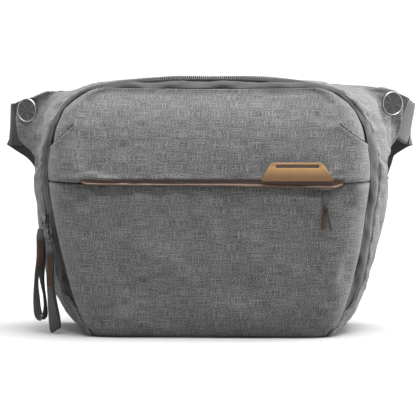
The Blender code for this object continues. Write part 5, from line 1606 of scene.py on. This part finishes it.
# pocket slider and its pull
PX = 101.0
py = float(front_points(np.array([0.72]), np.array([137.0]))[0, 0, 1]) - 4.5
hem_y = -0.0
pocket_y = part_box("pocket_slider")[0].y / MM
lo, hi = (np.array(c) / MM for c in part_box("pocket_slider"))
put(plate("pocket_slider_top", polygon([(PX - 4.4, 128.0), (PX + 4.4, 128.0), (PX + 4.4, 133.2), (PX + 2.8, 136.0), (PX - 2.8, 136.0), (PX - 4.4, 133.2)], 1.2), 1.6,
          "steel", FACE((lo[1] + hi[1]) / 2), 0.4), "pocket_zip_slider", "pocket_slider", slot="steel")
lo, hi = (np.array(c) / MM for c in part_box("pocket_pull"))
face_y = (lo[1] + hi[1]) / 2
tabp = [v(PX, face_y + 1.6, 127.2), v(PX, face_y + 1.0, 124), v(PX, face_y - 0.1, 119.5), v(PX, face_y - 0.1, 114.5)]
put(ribbon("pocket_pull_head", tabp, [4.6, 5.2, 5.0, 4.4], [v(1, 0, 0)] * 4, 1.4, "nylon", 30, 0.5), "pocket_zip_pull", "pocket_pull", slot="webbing")
edge_pts = [v(PX - 2.3, face_y + 0.8, 124.8), v(PX - 2.5, face_y - 0.2, 121.0), v(PX - 2.2, face_y - 0.8, 115.0)]
put(ribbon("pocket_pull_edge", edge_pts, [1.1, 1.2, 1.1], [v(1, 0.2, 0)] * 3, 0.8, "web_pull", 24, 0.3, across=3), "pocket_zip_pull", slot="webbing")
bead = revolve("pocket_pull_knot", [(0, -2.0), (1.4, -1.9), (2.5, -1.1), (2.8, 0), (2.5, 1.1), (1.4, 1.9), (0, 2.0)], frame_of((PX, face_y - 0.4, 113.5), (1, 0, 0), (0, 0, 1)), "thread_dark", 24)
put(bead, "pocket_zip_pull", slot="webbing")
leg_l = [v(PX - 0.9, face_y - 0.5, 113.2), v(PX - 1.8, face_y - 0.6, 108.6), v(PX - 2.4, face_y - 0.6, 103.6), v(PX - 2.7, face_y - 0.5, 98.8), v(PX - 3.0, face_y - 0.4, 94.4)]
leg_r = [v(PX + 0.9, face_y - 0.3, 113.2), v(PX + 1.8, face_y - 0.4, 108.6), v(PX + 2.6, face_y - 0.4, 103.6), v(PX + 3.6, face_y - 0.3, 98.8), v(PX + 4.8, face_y - 0.2, 94.6)]
put(ribbon("pocket_pull_leg_a", leg_l, [2.0, 2.5, 2.7, 2.8, 2.6], [v(0.9, 0.4, 0)] * 5, 1.4, "rust", 50, 0.3), "pocket_zip_pull", slot="hem_leather")
put(ribbon("pocket_pull_leg_b", leg_r, [2.0, 2.4, 2.6, 2.8, 2.6], [v(0.9, -0.4, 0)] * 5, 1.4, "web_pull", 50, 0.3), "pocket_zip_pull", slot="webbing")

# ================================================================ back and base
def back_points(u, t):
    zz = 4.9 + (214.4 - 4.9) * np.asarray(t)
    ks = np.linspace(0, 11.6, 400)
    corner = np.clip((zz - 205.0) / 10.4, 0, 1)
    halves = []
    for ring, sign in ((on("rear", ks), -1), (on("rear", 24 - ks), 1)):
        hw = np.interp(zz, ring[:, 2], sign * ring[:, 0])
        hw = hw - 2.0 - 2.2 * smooth((zz - 140) / 15) * (1 - smooth((zz - 203) / 8))
        if sign < 0:
            low_corner = np.clip((zz - 197.0) / 17.4, 0, 1)
            halves.append(np.minimum(hw, 139 - 76 * (1 - np.sqrt(1 - low_corner ** 2 * 0.98))))
        else:
            halves.append(np.minimum(hw, 139 - 62 * (1 - np.sqrt(1 - corner ** 2 * 0.98))))
    U, Zg = np.meshgrid(np.asarray(u) * 2 - 1, zz)
    X = np.where(U < 0, U * halves[0][:, None], U * halves[1][:, None])
    hw = (halves[0] + halves[1]) / 2
    lobes = np.minimum(1, np.abs(np.abs(X) - 2) / 10.0)
    pad = 2.4 * np.minimum(1, np.abs(X) / 9.0) ** 0.6
    inner = 1 - np.clip(np.maximum(np.abs(X) / np.maximum(hw[:, None], 1) - 0.90, 0) / 0.1, 0, 1) ** 2
    return np.stack([X, 51.9 + (pad - 0.4) * inner * smooth((Zg - 5) / 10) * smooth((215.4 - Zg) / 10), Zg], axis=-1)


U_B, T_B = params(110, 280, 2.6), params(90, 210, 2.6)
P = back_points(U_B, T_B)
moved = settle(back_points(np.linspace(0, 1, 30), np.linspace(0, 1, 26)), (0, 0, 100), 2.2, 0.01, 0.3, 1.6, 14)
P = P + resample(moved, U_B, T_B)
P[..., 1] += ripple(P, 60, 0.5, 12) * np.clip(edge_distance(P, "lrbt") / 10, 0, 1)
for zc in (58, 110, 162):
    P[..., 1] -= 0.9 * np.exp(-((P[..., 2] - zc) / 2.2) ** 2) * smooth((112 - np.abs(P[..., 0])) / 12) * smooth((np.abs(P[..., 0]) - 10) / 6)
back_slab = slab("back_pad", P, 7.6, ("mesh", "lining"), (0, 0, 100), 3.0)
put(back_slab, "bag_body", "back_panel", slot="heather_fabric", fill=0.6)
# the bag's own back wall, sewn to the side band all round behind the pad
WALL_Z = 8.0 + (215.2 - 8.0) * params(90, 207, 2.0)
ks = np.linspace(0.8, 11.9, 500)
ring_l, ring_r = on("rear", ks), on("rear", 24 - ks)
half_l = np.interp(WALL_Z, ring_l[:, 2], -ring_l[:, 0]) - 0.9 + 0.7 * smooth((WALL_Z - 185) / 10) - 2.2 * smooth((WALL_Z - 196) / 6) * (1 - smooth((WALL_Z - 210) / 3))
half_r = np.interp(WALL_Z, ring_r[:, 2], ring_r[:, 0]) - 0.9 + 0.7 * smooth((WALL_Z - 185) / 10)
UU = -1 + 2 * params(60, 280, 2.0)
W = np.stack([np.where(UU < 0, UU * half_l[:, None], UU * half_r[:, None]), np.full((len(WALL_Z), len(UU)), 46.4), np.repeat(WALL_Z[:, None], len(UU), 1)], axis=-1)
put(slab("rear_wall", W, 2.1, ("nylon", "lining"), (0, 0, 100), 0.3), "bag_body", slot="smooth_nylon")
rim = np.vstack([P[0, ::2], P[::2, -1], P[-1, ::-2], P[::-2, 0]])
rim = rim + np.array([0, -1.6, 0])
keep = [rim[0]]
for p in rim[1:]:
    if np.linalg.norm(p - keep[-1]) > 2.2:
        keep.append(p)
put(wire("back_piping", np.array(keep[:-1]), 2.1, "nylon", 12), "bag_body", slot="smooth_nylon")


def pillow(name, corners, thick, mats, roll=2.2, nu=40, nv=40, crown=0.0, bulge=0.0):
    """A padded flat piece between four corners (bilinear), with both faces rolled into a thin edge."""
    c = [np.asarray(p, float) for p in corners]
    w = (np.linalg.norm(c[1] - c[0]) + np.linalg.norm(c[2] - c[3])) / 2
    h = (np.linalg.norm(c[3] - c[0]) + np.linalg.norm(c[2] - c[1])) / 2
    u, t = params(nu, w, roll), params(nv, h, roll)
    U, T = np.meshgrid(u, t)
    P = (1 - U)[..., None] * (1 - T)[..., None] * c[0] + U[..., None] * (1 - T)[..., None] * c[1]
    P = P + U[..., None] * T[..., None] * c[2] + (1 - U)[..., None] * T[..., None] * c[3]
    n = normals_of(P)
    d = edge_distance(P, "lrbt")
    prof = np.sqrt(np.maximum(0, 1 - np.clip(1 - d / roll, 0, 1) ** 2))
    swell = 1 + crown * np.minimum(1, d / (min(w, h) * 0.4))
    half = thick / 2 * (0.25 + 0.75 * prof) * swell
    A = P + n * (half + ripple(P, 38, bulge, 2) * np.clip(d / 8, 0, 1))[..., None]
    B = P - n * (half + ripple(P, 38, bulge, 18) * np.clip(d / 8, 0, 1))[..., None]
    R, C = P.shape[:2]
    verts = np.concatenate([A.reshape(-1, 3), B.reshape(-1, 3)])
    rim = [(i, 0) for i in range(R)] + [(R - 1, j) for j in range(1, C)]
    rim += [(i, C - 1) for i in range(R - 2, -1, -1)] + [(0, j) for j in range(C - 2, 0, -1)]
    rim = [i * C + j for i, j in rim]
    f = np.concatenate([grid_faces(R, C), grid_faces(R, C, R * C, True), np.array([(b, a, a + R * C, b + R * C) for a, b in zip(rim, rim[1:] + rim[:1])])])
    fm = [0] * ((R - 1) * (C - 1) * 2) + [len(mats) - 1] * len(rim)
    uv = arc_uv(P).reshape(-1, 2)
    obj = make_mesh(name, verts, f, np.concatenate([uv, uv]), mats, fm)
    fix_normals(obj)
    return obj, P, n


# stiff base under a fabric-covered board
board = plate("base_cover", polygon([(-93, -57.2), (0, -58.2), (93, -57.2), (103, -42), (113, 4), (119.2, 40), (117, 49.3), (110, 51.6), (0, 51.8), (-110, 51.6),
                                     (-117, 49.3), (-119.2, 40), (-113, 4), (-103, -42)], 6.0), 4.1, "nylon_base", frame_of((0, 0, 2.08), (1, 0, 0), (0, 0, 1)), 1.2)
put(board, "bag_body", "base_board", slot="smooth_nylon")
obj, P, n = pillow("floor_pad", [(-95, -43, 6.3), (95, -43, 6.3), (112.5, 32, 6.3), (-112.5, 32, 6.3)], 2.9, ("felt", "nylon"), 1.6, 50, 30, 0, 0.1)
put(obj, "bag_body", "base_pad", slot="felt_lining", fill=0.7)

# papers sleeve against the back, pouch of the front pocket, dividers
obj, P, n = pillow("sleeve", [(-117, 38.1, 8.6), (117, 38.1, 8.6), (141, 38.1, 160), (-141, 38.1, 160)], 2.0, ("lining", "nylon_base"), 1.2, 60, 40, 0, 0.25)
put(obj, "bag_body", "back_sleeve", slot="felt_lining", fill=0.1)
put(stitches("sleeve_stitches", [(P[-4] - n[-4] * 1.1, -n[-4])], "thread", 2.4, 1.0, 0.2), "bag_body", slot="felt_lining")
obj, P, n = pillow("pocket_pouch", [(-95.5, -55.0, 50.5), (95.5, -55.0, 50.5), (95.5, -55.0, 151.5), (-95.5, -55.0, 151.5)], 1.1, ("lining",), 0.8, 50, 30, 0, 0.0)
put(obj, "front_cover", "pocket_lining", slot="felt_lining", fill=0.05)
for side, sx in (("left", -1), ("right", 1)):
    for part, z0, z1, body in (("divider_", 8.6, 118.3, "divider_%s_body" % side), ("divider_flap_", 119.3, 157.8, "divider_%s_top" % side)):
        x = sx * 48.0
        obj, P, n = pillow("felt_" + part + side, [(x, -39.6, z0), (x, 32.2, z0), (x, 32.2 - (1.5 if z1 > 150 else 0), z1), (x, -39.6 + (1.5 if z1 > 150 else 0), z1)],
                           7.4, ("felt", "nylon"), 3.4, 40, 44 if z1 < 150 else 22, 0.05, 0.2)
        put(obj, body, part + side, slot="felt_lining", fill=0.7)
        lines = []
        for off in (1, -1):
            d = edge_distance(P, "lrbt")
            i = int(np.argmin(np.abs(edge_distance(P, "b")[:, 0] - 4.6)))
            j = int(np.argmin(np.abs(edge_distance(P, "l")[0] - 4.6)))
            k1, k2 = P.shape[0] - 1 - i, P.shape[1] - 1 - j
            for line in (P[i, j:k2], P[k1, j:k2], P[i:k1, j], P[i:k1, k2]):
                lines.append((line + np.array([off * 3.92, 0, 0]), np.tile([off * 1.0, 0, 0], (len(line), 1))))
        put(stitches("divider_stitches_%s%s" % ("top_" if z1 > 150 else "", side), lines, "thread", 2.6, 1.1, 0.2), body, slot="felt_lining")

# ================================================================ floor and light
def stage_plane(name, size, z, mat):
    mesh = bpy.data.meshes.new(name)
    h = size / 2
    mesh.from_pydata([(-h, -h, z), (h, -h, z), (h, h, z), (-h, h, z)], [], [(0, 1, 2, 3)])
    mesh.materials.append(mat)
    obj = bpy.data.objects.new(name, mesh)
    scene.collection.objects.link(obj)
    obj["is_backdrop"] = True
    return obj


floor_mat, tree, bsdf = new_material("studio_floor")
bsdf.inputs["Base Color"].default_value = (0.36, 0.36, 0.36, 1)
bsdf.inputs["Roughness"].default_value = 0.9
bsdf.inputs["Specular IOR Level"].default_value = 0.1
stage_plane("floor", 40.0, -0.0002, floor_mat)

world = bpy.data.worlds.new("studio")
scene.world = world
world.use_nodes = True
bg = world.node_tree.nodes["Background"]
bg.inputs[1].default_value = 1.0
wt = world.node_tree
wc = wt.nodes.new("ShaderNodeTexCoord")
ws = wt.nodes.new("ShaderNodeSeparateXYZ")
wt.links.new(wc.outputs["Generated"], ws.inputs[0])
wr = wt.nodes.new("ShaderNodeValToRGB")
wr.color_ramp.elements[0].position, wr.color_ramp.elements[0].color = 0.10, (0.42, 0.42, 0.42, 1)
wr.color_ramp.elements[1].position, wr.color_ramp.elements[1].color = 0.62, (1.03, 1.03, 1.03, 1)
half = wt.nodes.new("ShaderNodeMath")
half.operation = "MULTIPLY_ADD"
half.inputs[1].default_value, half.inputs[2].default_value = 0.5, 0.5
wt.links.new(ws.outputs[1], half.inputs[0])
wt.links.new(half.outputs[0], wr.inputs[0])
wt.links.new(wr.outputs[0], bg.inputs[0])


def area(name, where, target, size, power, spread=180):
    data = bpy.data.lights.new(name, "AREA")
    data.shape, data.size, data.size_y = "RECTANGLE", size[0], size[1]
    data.energy = power
    data.spread = math.radians(spread)
    obj = bpy.data.objects.new(name, data)
    scene.collection.objects.link(obj)
    obj.location = where
    obj.rotation_euler = (Vector(target) - Vector(where)).to_track_quat("-Z", "Y").to_euler()
    return obj


sun = bpy.data.lights.new("overhead_sky", "SUN")
sun.energy, sun.angle = 8.0, math.radians(48)
sun_obj = bpy.data.objects.new("overhead_sky", sun)
scene.collection.objects.link(sun_obj)
sun_obj.rotation_euler = (math.radians(3), math.radians(8), 0)
area("right_softbox", (1.5, 0.72, 0.34), (0.1, 0, 0.12), (0.7, 0.6), 36)
area("left_softbox", (-1.5, 0.3, 0.5), (-0.1, 0, 0.12), (0.7, 0.9), 2.5)

{"cad": [list(v) for v in CAD_BOX], "visual": [list(v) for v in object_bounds()]}
